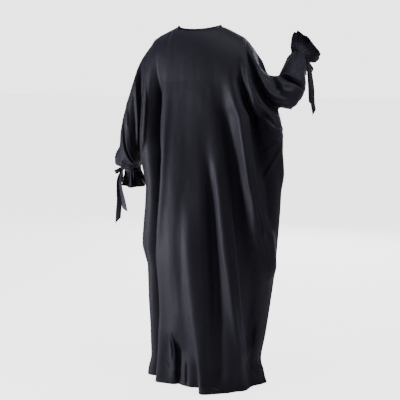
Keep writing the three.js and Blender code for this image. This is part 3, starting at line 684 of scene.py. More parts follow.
def wall_mesh(
    name: str, outer: np.ndarray, inner: np.ndarray, ring: bool = False, turned: bool = False
) -> bpy.types.Object:
    """A closed wall between two grids of points, as an object with its own UV map in metres of cloth.

    Args:
        name: The object's name.
        outer: Outer points by row and column, in millimetres.
        inner: Inner points, one for each outer point.
        ring: Whether the last column meets the first.
        turned: Whether the grid's faces are turned the other way.

    Returns:
        The object, in metres.
    """
    rows, columns = outer.shape[:2]
    size = rows * columns
    ids = np.arange(size).reshape(rows, columns)
    if ring:
        ids = np.concatenate([ids, ids[:, :1]], axis=1)
    wide = np.linalg.norm(np.diff(outer, axis=1, append=outer[:, :1]), axis=-1).mean(0)
    tall = np.linalg.norm(np.diff(outer, axis=0), axis=-1).mean(1)
    u = np.concatenate([[0.0], np.cumsum(wide)])[: ids.shape[1]] * MM
    v = np.concatenate([[0.0], np.cumsum(tall)]) * MM
    map_of = np.stack(np.meshgrid(u, v), axis=-1)
    face = cell_corners(ids[..., None])[..., 0]
    face_uv = cell_corners(map_of)
    strips, strip_uvs = [], []
    edges = [(ids[0], map_of[0], False), (ids[-1], map_of[-1], True)]
    if not ring:
        edges += [(ids[:, 0], map_of[:, 0], True), (ids[:, -1], map_of[:, -1], False)]
    for line, line_uv, back in edges:
        strip = np.stack([line[1:], line[:-1], line[:-1] + size, line[1:] + size], axis=-1)
        uv = np.stack([line_uv[1:], line_uv[:-1], line_uv[:-1], line_uv[1:]], axis=-2)
        strips.append(strip[:, ::-1] if back else strip)
        strip_uvs.append(uv[:, ::-1] if back else uv)
    faces = np.concatenate([face, face[:, ::-1] + size, *strips])
    uvs = np.concatenate([face_uv, face_uv[:, ::-1], *strip_uvs])
    rim = np.arange(len(faces)) >= 2 * len(face)
    if turned:
        faces, uvs = faces[:, ::-1], uvs[:, ::-1]
    points = np.concatenate([outer.reshape(-1, 3), inner.reshape(-1, 3)]) * MM
    mesh = bpy.data.meshes.new(name)
    mesh.from_pydata(points.tolist(), [], faces.tolist())
    layer = mesh.uv_layers.new(name="UVMap")
    layer.data.foreach_set("uv", uvs.astype(np.float32).ravel())
    mesh.polygons.foreach_set("use_smooth", ~rim)
    mesh.update()
    piece = bpy.data.objects.new(name, mesh)
    bpy.context.scene.collection.objects.link(piece)
    return piece


def to_linear(hex_colour: str) -> tuple[float, float, float, float]:
    """An sRGB colour as the linear values that a shader takes.

    Args:
        hex_colour: The colour, such as 1c1c20.

    Returns:
        Red, green, blue and an alpha of 1.
    """
    parts = [int(hex_colour[k : k + 2], 16) / 255 for k in (0, 2, 4)]
    linear = [p / 12.92 if p <= 0.04045 else ((p + 0.055) / 1.055) ** 2.4 for p in parts]
    return (*linear, 1.0)


def add_node(
    tree: bpy.types.NodeTree, kind: str, settings: dict[str, str] | None = None, **links: object
) -> bpy.types.Node:
    """A node with its settings and inputs.

    Args:
        tree: The tree that it goes into.
        kind: Its type.
        settings: Its own properties by name.
        **links: Its inputs by name, spaces as underscores, each a value or the socket that feeds it.

    Returns:
        The node.
    """
    node = tree.nodes.new(kind)
    for name, value in (settings or {}).items():
        setattr(node, name, value)
    for name, value in links.items():
        socket = node.inputs[name.replace("_", " ")]
        if isinstance(value, bpy.types.NodeSocket):
            tree.links.new(value, socket)
        else:
            socket.default_value = value
    return node


@dataclass(frozen=True)
class Crepe:
    """Black polyester crepe, piece-dyed: near black with a cool cast, satin where it stretches over a
    fold, with a fine pebbled grain that breaks up its shine."""

    name: str = "black_crepe"
    colour: str = "0f0e15"
    worn: str = "14131b"
    roughness: float = 0.62
    ior: float = 1.5
    shine: float = 0.34  # lower than a bare fibre's, for the light that is lost in the grain
    shine_tint: str = "e2dff6"
    sheen: float = 0.18  # the fibre ends' cool haze at a grazing angle
    sheen_spread: float = 0.45
    sheen_tint: str = "a29fca"
    pebble: float = 1.1  # the real grain is about 0.4 mm across, and it is drawn coarser to show
    relief: float = 0.22
    depth: float = 0.0006
    weave: float = 0.35  # the weave's share of the relief beside the grain's
    wear: float = 9.0  # patches of wear to a metre
    gloss: float = 60.0  # patches of more or less gloss to a metre
    uneven: float = 0.05  # and how far the roughness goes up and down in them

    def make(self) -> bpy.types.Material:
        """The material, with its grain and weave on the piece's UV map.

        Returns:
            The material.
        """
        material = bpy.data.materials.new(self.name)
        material.use_nodes = True
        tree = material.node_tree
        shader = tree.nodes["Principled BSDF"]
        place = add_node(tree, "ShaderNodeTexCoord").outputs["UV"]
        body = add_node(tree, "ShaderNodeTexCoord").outputs["Object"]
        wear = add_node(tree, "ShaderNodeTexNoise", Vector=body, Scale=self.wear, Detail=4.0)
        tone = add_node(tree, "ShaderNodeMix", {"data_type": "RGBA"}, Factor=wear.outputs["Fac"])
        tone.inputs[6].default_value = to_linear(self.colour)
        tone.inputs[7].default_value = to_linear(self.worn)
        tree.links.new(tone.outputs[2], shader.inputs["Base Color"])
        cell = 1.0 / (self.pebble * MM)
        grain = add_node(tree, "ShaderNodeTexVoronoi", Vector=place, Scale=cell)
        weave = add_node(
            tree, "ShaderNodeTexWave", {"bands_direction": "Y"}, Vector=place, Scale=cell / 9,
            Distortion=3.0, Detail=2.0,
        )
        mixed = add_node(tree, "ShaderNodeMath", {"operation": "MULTIPLY_ADD"})
        tree.links.new(weave.outputs["Fac"], mixed.inputs[0])
        mixed.inputs[1].default_value = self.weave
        tree.links.new(grain.outputs["Distance"], mixed.inputs[2])
        bump = add_node(
            tree, "ShaderNodeBump", Height=mixed.outputs[0], Strength=self.relief, Distance=self.depth
        )
        tree.links.new(bump.outputs["Normal"], shader.inputs["Normal"])
        uneven = add_node(tree, "ShaderNodeTexNoise", Vector=body, Scale=self.gloss, Detail=3.0)
        gloss = add_node(
            tree, "ShaderNodeMapRange", Value=uneven.outputs["Fac"], To_Min=self.roughness - self.uneven,
            To_Max=self.roughness + self.uneven,
        )
        tree.links.new(gloss.outputs["Result"], shader.inputs["Roughness"])
        shader.inputs["IOR"].default_value = self.ior
        shader.inputs["Specular IOR Level"].default_value = self.shine
        shader.inputs["Specular Tint"].default_value = to_linear(self.shine_tint)
        shader.inputs["Sheen Weight"].default_value = self.sheen
        shader.inputs["Sheen Roughness"].default_value = self.sheen_spread
        shader.inputs["Sheen Tint"].default_value = to_linear(self.sheen_tint)
        return material


@dataclass(frozen=True)
class Thread:
    """Black polyester sewing thread: two plies twisted, with a small shine on each stitch."""

    name: str = "sewing_thread"
    colour: str = "1a1a1e"
    roughness: float = 0.42
    twist: float = 900.0
    relief: float = 0.3
    depth: float = 0.0001

    def make(self) -> bpy.types.Material:
        """The material, with its twist as fine slanted bands.

        Returns:
            The material.
        """
        material = bpy.data.materials.new(self.name)
        material.use_nodes = True
        tree = material.node_tree
        shader = tree.nodes["Principled BSDF"]
        place = add_node(tree, "ShaderNodeTexCoord").outputs["Object"]
        twist = add_node(
            tree, "ShaderNodeTexWave", {"bands_direction": "DIAGONAL"}, Vector=place, Scale=self.twist
        )
        bump = add_node(
            tree, "ShaderNodeBump", Height=twist.outputs["Fac"], Strength=self.relief,
            Distance=self.depth,
        )
        tree.links.new(bump.outputs["Normal"], shader.inputs["Normal"])
        shader.inputs["Base Color"].default_value = to_linear(self.colour)
        shader.inputs["Roughness"].default_value = self.roughness
        return material


class SubAssembly:
    """What makes its own pieces and dresses them."""

    def dress(self, piece: bpy.types.Object, material: bpy.types.Material, slot: Slot) -> bpy.types.Object:
        """Gives a piece its material, and lets it ride on the garment's only body.

        Args:
            piece: The piece.
            material: Its material.
            slot: What it counts as. Not used.

        Returns:
            The same piece.
        """
        piece.data.materials.clear()
        piece.data.materials.append(material)
        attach(piece, "root")
        log.info("%s: %d faces", piece.name, len(piece.data.polygons))
        return piece


@dataclass(frozen=True)
class StitchRow(SubAssembly):
    """A row of stitches along a path, made by Geometry Nodes. The real ones are 2.5 mm long, and they
    are drawn longer to show."""

    pitch: float = 4.2
    length: float = 3.2
    thick: float = 0.7

    def tree(self) -> bpy.types.NodeTree:
        """The node tree, with its sizes as named inputs.

        Returns:
            The tree.
        """
        tree = bpy.data.node_groups.new("stitch_row", "GeometryNodeTree")
        face = tree.interface
        face.new_socket("Geometry", in_out="INPUT", socket_type="NodeSocketGeometry")
        for name in ("Pitch", "Length", "Thickness"):
            face.new_socket(name, in_out="INPUT", socket_type="NodeSocketFloat")
        face.new_socket("Thread", in_out="INPUT", socket_type="NodeSocketMaterial")
        face.new_socket("Geometry", in_out="OUTPUT", socket_type="NodeSocketGeometry")
        given = add_node(tree, "NodeGroupInput").outputs
        line = add_node(tree, "GeometryNodeMeshToCurve", Mesh=given["Geometry"])
        spaced = add_node(
            tree, "GeometryNodeResampleCurve", {"mode": "LENGTH"}, Curve=line.outputs[0],
            Length=given["Pitch"],
        )
        stitch = add_node(tree, "GeometryNodeMeshUVSphere", Segments=8, Rings=5, Radius=0.5)
        tangent = add_node(tree, "GeometryNodeInputTangent")
        turn = add_node(
            tree, "FunctionNodeAlignRotationToVector", {"axis": "X"}, Vector=tangent.outputs[0]
        )
        size = add_node(
            tree, "ShaderNodeCombineXYZ", X=given["Length"], Y=given["Thickness"], Z=given["Thickness"]
        )
        row = add_node(
            tree, "GeometryNodeInstanceOnPoints", Points=spaced.outputs[0], Instance=stitch.outputs[0],
            Rotation=turn.outputs[0], Scale=size.outputs[0],
        )
        real = add_node(tree, "GeometryNodeRealizeInstances", Geometry=row.outputs[0])
        dressed = add_node(
            tree, "GeometryNodeSetMaterial", Geometry=real.outputs[0], Material=given["Thread"]
        )
        out = add_node(tree, "NodeGroupOutput")
        tree.links.new(dressed.outputs[0], out.inputs[0])
        return tree

    def sew(
        self, name: str, path: np.ndarray, tree: bpy.types.NodeTree, thread: bpy.types.Material
    ) -> bpy.types.Object:
        """The row of stitches along a path, as a plain mesh.

        Args:
            name: The piece's name.
            path: Points along the row, in millimetres, on the cloth.
            tree: The node tree that tree() made.
            thread: The thread's material.

        Returns:
            The stitches.
        """
        mesh = bpy.data.meshes.new(name)
        edges = [(k, k + 1) for k in range(len(path) - 1)]
        mesh.from_pydata((path * MM).tolist(), edges, [])
        piece = bpy.data.objects.new(name, mesh)
        bpy.context.scene.collection.objects.link(piece)
        modifier = piece.modifiers.new("stitches", "NODES")
        modifier.node_group = tree
        given = {"Pitch": self.pitch * MM, "Length": self.length * MM, "Thickness": self.thick * MM}
        for item in tree.interface.items_tree:
            if item.in_out == "INPUT" and item.name in given:
                modifier[item.identifier] = given[item.name]
            elif item.in_out == "INPUT" and item.name == "Thread":
                modifier[item.identifier] = thread
        graph = bpy.context.evaluated_depsgraph_get()
        final = bpy.data.meshes.new_from_object(piece.evaluated_get(graph))
        piece.modifiers.clear()
        piece.data = final
        return self.dress(piece, thread, Slot.TRIM)

    def sew_all(
        self, seams: dict[str, np.ndarray], thread: bpy.types.Material
    ) -> dict[str, bpy.types.Object]:
        """A row of stitches for each seam.

        Args:
            seams: The path of each seam by its name.
            thread: The thread's material.

        Returns:
            The rows by the names of their seams.
        """
        tree = self.tree()
        return {name: self.sew(f"stitches_{name}", path, tree, thread) for name, path in seams.items()}


# Creases of the two panels, as angles round the body and levels. The back's angles are above 0.
BODY_CREASES = {
    "left panel edge": Crease(
        ((70, -220), (70, -500), (67, -660), (61, -822), (55, -950), (49, -1150)), 12, 6, -0.9
    ),
    "valley floor": Crease(
        ((44, -130), (50, -300), (53, -560), (48, -800), (41, -1000), (34, -1230)), 17, -30
    ),
    "underarm strip": Crease(
        ((24, -190), (30, -275), (31, -355), (31, -435), (24, -492), (15, -540)), 7, 9, -0.4
    ),
    "hollow beside the strip": Crease(
        ((8, -215), (16, -297), (19, -355), (18, -435), (13, -490)), 8, -17
    ),
    "left side line": Crease(
        ((34, -480), (31, -676), (24, -900), (17, -1093), (13, -1330)), 4, -2.6, -0.4
    ),
    "centre ridge": Crease(
        ((99, -420), (101, -650), (104, -850), (106, -1000), (108, -1200), (108, -1350)), 15, 9, 0.8
    ),
    "long ridge": Crease(
        (
            (106, -380), (109, -500), (114, -646), (118, -837), (123, -961), (127, -1056), (132, -1159),
            (138, -1247), (147, -1360),
        ),
        14, 8, 0.8,
    ),
    "long trough": Crease(
        ((117, -250), (125, -500), (128, -646), (132, -822), (136, -954), (141, -1064), (149, -1290)),
        20, -20,
    ),
    "shoulder ridge": Crease(
        ((128, -200), (131, -326), (134, -456), (138, -573), (143, -705), (151, -900)), 11, 8, 0.6
    ),
    "thin ridge": Crease(
        ((132, -440), (138, -588), (142, -646), (146, -720), (151, -800), (160, -890)), 6, 4, 0.6
    ),
    "shoulder trough": Crease(
        ((149, -120), (147, -239), (145, -326), (146, -456), (149, -600), (154, -800)), 13, -22
    ),
    "beside the trough": Crease(((155, -250), (150, -330), (147, -405), (148, -540)), 14, 5),
    "shoulder band": Crease(
        ((154, -110), (160, -165), (161, -203), (155, -275), (150, -330), (149, -380)), 12, 6, 1.0
    ),
    "underarm hollow": Crease(((158, -270), (165, -315), (174, -350), (178, -352)), 20, -10),
    "underarm rim": Crease(
        ((150, -300), (154, -345), (159, -372), (167, -388), (179, -376)), 7, 7, 0.9
    ),
    "upper pull": Crease(((178, -392), (165, -430), (150, -485)), 6, 4, -0.6),
    "lower pull": Crease(((178, -400), (166, -480), (153, -590)), 7, 4, -0.6),
    "right lower hollow": Crease(((158, -1120), (163, -1230), (168, -1390)), 20, -8),
    "right hem pull": Crease(
        ((136, -1190), (148, -1270), (159, -1327), (172, -1393), (180, -1406)), 8, 6, 0.6
    ),
    "left hem swell": Crease(((65, -1220), (67, -1330), (67, -1450)), 15, 8),
    "hem roll": Crease(((102, -1376), (109, -1396), (122, -1413)), 6, 5, 0.6),
    "left hem dent": Crease(((70, -1180), (71, -1290), (71, -1440)), 9, -4, -0.8),
    "small hem dent": Crease(((66, -1215), (66, -1260), (66, -1325)), 5, -3.5, -0.7),
    "slanted hem crease": Crease(((57, -1315), (63, -1345), (71, -1380)), 5, -3, -0.6),
    "hem wedge": Crease(((83, -1305), (84, -1350), (84, -1430)), 6, -4, -0.8),
    "right hem crease": Crease(((173, -1300), (174, -1335), (175, -1380)), 5, -3, 0.6),
    "front left fold": Crease(((-30, -260), (-41, -520), (-44, -800), (-42, -1200)), 15, 7, -0.8),
    "front chest pull": Crease(((-22, -280), (-48, -420), (-70, -620)), 9, 4, -0.5),
    "front centre fold": Crease(((-74, -240), (-82, -560), (-88, -900), (-86, -1300)), 16, 7, 0.8),
    "front long ridge": Crease(((-98, -330), (-104, -640), (-110, -980), (-116, -1370)), 13, 7, -0.8),
    "front short ridge": Crease(((-118, -200), (-114, -420), (-112, -700)), 12, 5, 0.6),
    "front right trough": Crease(((-142, -230), (-134, -520), (-131, -880), (-128, -1240)), 20, -9),
    "front right fold": Crease(((-152, -300), (-148, -600), (-154, -960), (-152, -1300)), 14, 6, 0.7),
    "front underarm rim": Crease(((-150, -290), (-157, -362), (-168, -386), (-179, -376)), 8, 6, -0.8),
    "front upper pull": Crease(((-178, -395), (-163, -440), (-146, -520)), 7, 4, 0.6),
    "front hem dent": Crease(((-62, -1190), (-60, -1290), (-60, -1440)), 10, -6, 0.7),
    "front hem wedge": Crease(((-128, -1260), (-126, -1340), (-126, -1440)), 8, -5, 0.6),
}

# Creases of the sleeves, as turns round the arm and places along it
LEFT_SLEEVE_CREASES = {
    "bright column": Crease(
        ((26, 0.21), (44, 0.19), (70, 0.15), (91, 0.14), (123, 0.13), (146, 0.17), (160, 0.26)),
        17, 11, -0.9,
    ),
    "forearm trough": Crease(((40, 0.38), (57, 0.46), (107, 0.61), (136, 0.72), (150, 0.8)), 9, -6, 0.5),
    "forearm ridge": Crease(((30, 0.44), (55, 0.52), (90, 0.63), (112, 0.74)), 12, 4),
    "elbow ridge": Crease(((28, 0.42), (44, 0.39), (73, 0.38), (90, 0.42)), 12, 4),
    "blouse edge": Crease(((20, 0.8), (42, 0.785), (81, 0.775), (112, 0.85), (130, 0.87)), 5, 3, 0.6),
    "blouse fold": Crease(((60, 0.68), (70, 0.76), (82, 0.86)), 7, -4, 0.5),
    "front trough": Crease(((320, 0.2), (300, 0.4), (270, 0.6), (240, 0.74)), 14, -7, -0.5),
    "front ridge": Crease(((340, 0.35), (325, 0.5), (300, 0.68), (285, 0.82)), 12, 6),
    "front blouse fold": Crease(((250, 0.7), (262, 0.8), (268, 0.88)), 8, -4, 0.5),
    "inner fold": Crease(((200, 0.25), (190, 0.5), (196, 0.78)), 12, -5, 0.5),
}
RIGHT_SLEEVE_CREASES = {
    "lit lower curve": Crease(
        ((70, 0.06), (100, 0.1), (123, 0.13), (134, 0.18), (150, 0.26)), 7, 5, -0.7
    ),
    "crook shadow": Crease(((40, 0.33), (69, 0.29), (100, 0.27), (132, 0.25)), 8, -14, 0.4),
    "crook wedge": Crease(((34, 0.38), (61, 0.4), (100, 0.41), (134, 0.47), (176, 0.55)), 8, -16, 0.6),
    "crook patch": Crease(((84, 0.33), (100, 0.34), (118, 0.36)), 8, 4),
    "elbow light": Crease(((115, 0.28), (130, 0.32), (144, 0.38)), 8, 5),
    "elbow spot": Crease(((124, 0.235), (136, 0.262), (148, 0.27)), 6, -5),
    "elbow pull": Crease(((150, 0.12), (165, 0.22), (182, 0.36), (196, 0.46)), 10, 4, -0.5),
    "forearm fold": Crease(((80, 0.52), (92, 0.66), (96, 0.82)), 8, -4, 0.5),
    "under forearm": Crease(((196, 0.5), (188, 0.66), (180, 0.84)), 9, 4, 0.5),
    "front crook": Crease(((334, 0.3), (300, 0.36), (260, 0.42), (226, 0.45)), 9, -12, 0.5),
    "front crook roll": Crease(((325, 0.4), (295, 0.47), (258, 0.52)), 9, 6),
    "front forearm": Crease(((280, 0.58), (270, 0.72), (266, 0.86)), 8, -4, -0.5),
    "front upper pull": Crease(((330, 0.08), (300, 0.16), (270, 0.26)), 10, 5, 0.5),
}


@dataclass
class Garment(SubAssembly):
    """The body panels and sleeves, sewn into one net, creased, and given back as separate walls."""

    body: BodyForm = field(default_factory=BodyForm)
    arms: dict[Arm, ArmForm] = field(
        default_factory=lambda: {Arm.LEFT: ArmForm(LEFT_SLEEVE), Arm.RIGHT: ArmForm(RIGHT_SLEEVE)}
    )
    creases: dict[Arm, dict[str, Crease]] = field(
        default_factory=lambda: {Arm.LEFT: LEFT_SLEEVE_CREASES, Arm.RIGHT: RIGHT_SLEEVE_CREASES}
    )
    lengths: dict[Arm, float] = field(default_factory=lambda: {Arm.LEFT: 520.0, Arm.RIGHT: 330.0})
    row_pitch: float = 7.3
    hem_rows: tuple[float, ...] = (0.0, 1.0, 3.5, 8.0, 12.0, 14.5, 17.0, 21.0, 27.0)
    sleeve_rows: int = 140
    relax_rounds: int = 140
    seam_dip: float = 1.1
    furrow_deep: float = 22.0
    furrow_wide: float = 20.0
    side_grain: float = 2.4  # millimetres of cloth in a degree at the right side seam
    hem_height: float = 14.5
    hem_out: float = 0.5
    hem_sink: float = 0.45  # how deep its stitches press in
    hem_thick: float = 1.0
    gathers: tuple[float, float] = (9.0, 3.0)  # how many there are, and how high
    fine_gathers: tuple[float, float] = (25.0, 1.7)
    tie_squeeze: float = 0.6  # the share of the fine gathers' height that the tie takes

    def levels(self) -> np.ndarray:
        """The rows of both panels, with closer ones in the hem and one at each armhole's foot.

        Returns:
            The level of each row, rising.
        """
        hem = HEM + np.array(self.hem_rows)
        stops = [hem[-1], Arm.LEFT.value, Arm.RIGHT.value, 0.0]
        rows = [hem]
        for low, high in zip(stops, stops[1:]):
            rows.append(np.linspace(low, high, round((high - low) / self.row_pitch) + 1)[1:])
        return np.concatenate(rows)

    def panel(self, side: Side) -> Sheet:
        """A body panel before its creases.

        Args:
            side: The panel.

        Returns:
            The panel's sheet.
        """
        angle = side.value * np.linspace(0.0, 180.0, PANEL_COLUMNS)
        level = self.levels()
        points = self.body.surface(side, angle[None, :], level[:, None])
        name = "back_panel" if side is Side.BACK else "front_panel"
        return Sheet(name, points, angle, level, ring=False, turned=side is Side.FRONT)

    def armhole(self, arm: Arm, levels: np.ndarray) -> tuple[np.ndarray, np.ndarray]:
        """An armhole's edge, from the shoulder down the back and up the front.

        Args:
            arm: The sleeve.
            levels: The panels' rows.

        Returns:
            The row of each of its points, and whether each is on the back panel.
        """
        first = int(np.argmin(np.abs(levels - arm.value)))
        last = len(levels) - 1
        down = np.arange(last, first - 1, -1)
        up = np.arange(first + 1, last)
        return np.concatenate([down, up]), np.arange(len(down) + len(up)) < len(down)

    def sleeve(self, arm: Arm, back: Sheet, front: Sheet) -> Sheet:
        """A sleeve, from the armhole's own edge to the gathers under the tie.

        Args:
            arm: The sleeve.
            back: The back panel.
            front: The front panel.

        Returns:
            The sleeve's sheet.
        """
        form = self.arms[arm]
        rows, on_back = self.armhole(arm, back.along)
        column = 0 if arm is Arm.LEFT else -1
        loop = np.where(on_back[:, None], back.points[rows, column], front.points[rows, column])
        middle, long, _ = (part[0] for part in form.ring(np.zeros(1)))
        height = (loop - middle) @ unit(long) / np.linalg.norm(long)
        first = np.degrees(np.arccos(np.clip(height, -1.0, 1.0)))
        count = len(loop)
        first = np.where(np.arange(count) * 2 <= count, first, 360.0 - first)
        even = 360.0 * np.arange(count) / count
        place = np.linspace(0.0, 1.0, self.sleeve_rows)
        turn = lerp(first, even, ease(place, 0.0, 0.9)[:, None])
        pull = ease(place, 0.7, 0.88) * (1 - ease(place, 0.9, 0.96))
        fine = ease(place, 0.84, 0.95) * (1 - self.tie_squeeze * ease(place, 0.97, 1.0))
        jitter = GATHER_SHIFT.lift(even, place[:, None])
        wave = self.gathers[1] * pull[:, None] * np.cos(np.radians(self.gathers[0] * turn))
        small = np.cos(np.radians(self.fine_gathers[0] * (turn + jitter)))
        wave = wave + self.fine_gathers[1] * fine[:, None] * small
        shift = loop - form.points(np.zeros(1), first[None, :])[0]
        hold = (1 - ease(place, 0.0, 0.5))[:, None, None]
        points = form.points(place, turn, wave) + shift * hold
        points[0] = loop
        name = "sleeve_left" if arm is Arm.LEFT else "sleeve_right"
        return Sheet(name, points, even, place, ring=True, turned=arm is Arm.LEFT)

    def edge_fade(self, sheet: Sheet) -> np.ndarray:
        """How far a sheet's points are from its sewn edges.

        Args:
            sheet: A panel or a sleeve.

        Returns:
            0 at the sewn edges and 1 inside, for each point.
        """
        rows, columns = sheet.points.shape[:2]
        if not sheet.ring:
            span = np.minimum(np.abs(sheet.across), 180.0 - np.abs(sheet.across))
            across = ease(span, 0.0, 6.0)
            return np.broadcast_to(across, (rows, columns)) * ease(sheet.along, 0.0, -16.0)[:, None]
        return np.broadcast_to(ease(sheet.along, 0.0, 0.05)[:, None], (rows, columns))

    def body_lift(self, sheet: Sheet) -> np.ndarray:
        """How far the creases, ripples and hem move a panel's points out.

        Args:
            sheet: The panel.

        Returns:
            The lift of each point.
        """
        angle, level = sheet.across[None, :], sheet.along[:, None]
        lift = np.zeros(sheet.points.shape[:2])
        for crease in BODY_CREASES.values():
            lift = lift + crease.lift(angle, level, (GRAIN, 1.0))
        for ripple in PANEL_RIPPLES:
            lift = lift + ripple.lift(angle * GRAIN, level)
        lift = lift * self.edge_fade(sheet)
        above = level - HEM
        curl = HEM_CURL.lift(angle * GRAIN, level) * ease(above, 38.0, 0.0)
        band = curl + self.hem_out * ease(above, self.hem_height + 2.5, self.hem_height)
        stitched = -self.hem_sink * np.exp(-(((above - self.hem_height) / 2.0) ** 2))
        return lift + band + stitched

    def sleeve_lift(self, arm: Arm, sheet: Sheet) -> np.ndarray:
        """How far the creases and ripples move a sleeve's points out.

        Args:
            arm: The sleeve.
            sheet: Its sheet.

        Returns:
            The lift of each point.
        """
        turn, place = sheet.across[None, :], sheet.along[:, None]
        lift = np.zeros(sheet.points.shape[:2])
        for crease in self.creases[arm].values():
            lift = lift + crease.lift(turn, place, (SLEEVE_GRAIN, self.lengths[arm]))
        lift = lift + SLEEVE_RIPPLE.lift(turn * SLEEVE_GRAIN, place * self.lengths[arm])
        return lift * self.edge_fade(sheet)

    def build(self) -> list[Sheet]:
        """The four sheets, sewn, smoothed at the armholes and creased.

        Returns:
            The back and front panels and the two sleeves, with their normals.
        """
        back, front = self.panel(Side.BACK), self.panel(Side.FRONT)
        sleeves = {arm: self.sleeve(arm, back, front) for arm in Arm}
        net = ClothNet([back, front, *sleeves.values()])
        back_ids, front_ids = back.ids(), front.ids()
        sewn_top = np.minimum(np.abs(back.across), 180.0 - np.abs(back.across)) <= NECK_ANGLE
        for arm, column in ((Arm.LEFT, 0), (Arm.RIGHT, -1)):
            under = back.along <= arm.value + 0.01
            net.sew(back_ids[under, column], front_ids[under, column])
        net.sew(back_ids[-1, sewn_top], front_ids[-1, sewn_top])
        for arm, column in ((Arm.LEFT, 0), (Arm.RIGHT, -1)):
            rows, on_back = self.armhole(arm, back.along)
            edge = np.where(on_back, back_ids[rows, column], front_ids[rows, column])
            net.sew(edge, sleeves[arm].ids()[0])
        net.settle()
        net.relax(self.slack(back, front, sleeves), self.relax_rounds)
        lifts = [self.body_lift(back), self.body_lift(front)]
        lifts += [self.sleeve_lift(arm, sleeve) for arm, sleeve in sleeves.items()]
        dips = self.dips(back, front, sleeves)
        net.push(np.concatenate([lift.ravel() for lift in lifts]) + dips)
        net.hand_back()
        return net.sheets

    def slack(self, back: Sheet, front: Sheet, sleeves: dict[Arm, Sheet]) -> np.ndarray:
        """How freely each point relaxes: most at the armholes, and not at all away from them.

        Args:
            back: The back panel.
            front: The front panel.
            sleeves: The sleeves.

        Returns:
            A weight from 0 to 1 for each point of the net.
        """
        parts = []
        for panel in (back, front):
            span = np.abs(panel.across)[None, :]
            level = panel.along[:, None]
            left = ease(span, 20.0, 4.0) * ease(level, -590.0, -500.0)
            right = ease(180.0 - span, 20.0, 4.0) * ease(level, -430.0, -340.0)
            parts.append(np.maximum(left, right).ravel())
        for sleeve in sleeves.values():
            free = ease(sleeve.along, 0.22, 0.05)[:, None]
            parts.append(np.broadcast_to(free, sleeve.points.shape[:2]).ravel())
        return np.concatenate(parts)

    def dips(self, back: Sheet, front: Sheet, sleeves: dict[Arm, Sheet]) -> np.ndarray:
        """The groove that each seam presses into the cloth, and the furrow behind the raised arm.

        Args:
            back: The back panel.
            front: The front panel.
            sleeves: The sleeves.

        Returns:
            The lift of each point of the net, 0 or less.
        """
        parts = []
        for panel in (back, front):
            dip = np.zeros(panel.points.shape[:2])
            dip[:, [0, -1]] = -self.seam_dip
            span = np.minimum(np.abs(panel.across), 180.0 - np.abs(panel.across))
            dip[-1, span <= NECK_ANGLE] = -self.seam_dip
            if panel is back:
                behind = ease(panel.along, -350.0, -270.0) * ease(panel.along, -60.0, -130.0)
                away = (180.0 - panel.across) * self.side_grain
                dip = dip + self.furrow(away) * behind[:, None]
            parts.append(dip.ravel())
        for arm, sleeve in sleeves.items():
            dip = np.zeros(sleeve.points.shape[:2])
            dip[0] = -self.seam_dip
            if arm is Arm.RIGHT:
                behind = ease(sleeve.across, 20.0, 60.0) * ease(sleeve.across, 185.0, 150.0)
                dip = dip + self.furrow(sleeve.along[:, None] * self.lengths[arm]) * behind
            parts.append(dip.ravel())
        return np.concatenate(parts)

    def furrow(self, away: np.ndarray) -> np.ndarray:
        """How far the cloth sinks behind the raised arm, by its distance from the armhole."""
        return -self.furrow_deep * np.exp(-((away / self.furrow_wide) ** 2))

    def wall(self, sheet: Sheet) -> bpy.types.Object:
        """A sheet as a closed wall, thicker in its turned hem.

        Args:
            sheet: A panel or a sleeve.

        Returns:
            The wall.
        """
        thick = np.full(sheet.points.shape[:2], WALL)
        if not sheet.ring:
            above = sheet.along[:, None] - HEM
            thick = thick + self.hem_thick * ease(above, self.hem_height + 2.0, self.hem_height - 1.0)
        inner = sheet.points - sheet.normals * thick[..., None]
        return wall_mesh(f"{sheet.name}_cloth", sheet.points, inner, sheet.ring, sheet.turned)

    def dress_walls(
        self, sheets: list[Sheet], material: bpy.types.Material
    ) -> dict[str, bpy.types.Object]:
        """The sheets as dressed walls.

        Args:
            sheets: The sheets that build() gave.
            material: The cloth's material.

        Returns:
            The walls by the names of the sheets.
        """
        return {sheet.name: self.dress(self.wall(sheet), material, Slot.CLOTH) for sheet in sheets}

    def hem_seam(self, back: Sheet, front: Sheet) -> np.ndarray:
        """The path of the stitches that hold the turned hem.

        Args:
            back: The back panel.
            front: The front panel.

        Returns:
            Its points, round the whole garment.
        """
        row = int(np.argmin(np.abs(back.along - HEM - self.hem_height)))
        path = np.concatenate([back.points[row], front.points[row][::-1]])
        out = np.concatenate([back.normals[row], front.normals[row][::-1]])
        return path + out * PROUD


def grid_normals(points: np.ndarray, outward: np.ndarray) -> np.ndarray:
    """Normals of a ring-shaped grid.

    Args:
        points: The grid's points.
        outward: A direction for each point that shows which side is out.

    Returns:
        The normal at each point.
    """
    along = np.gradient(points, axis=0)
    around = (np.roll(points, -1, axis=1) - np.roll(points, 1, axis=1)) / 2
    normals = unit(np.cross(along, around))
    return normals * np.sign((normals * outward).sum(-1).mean())


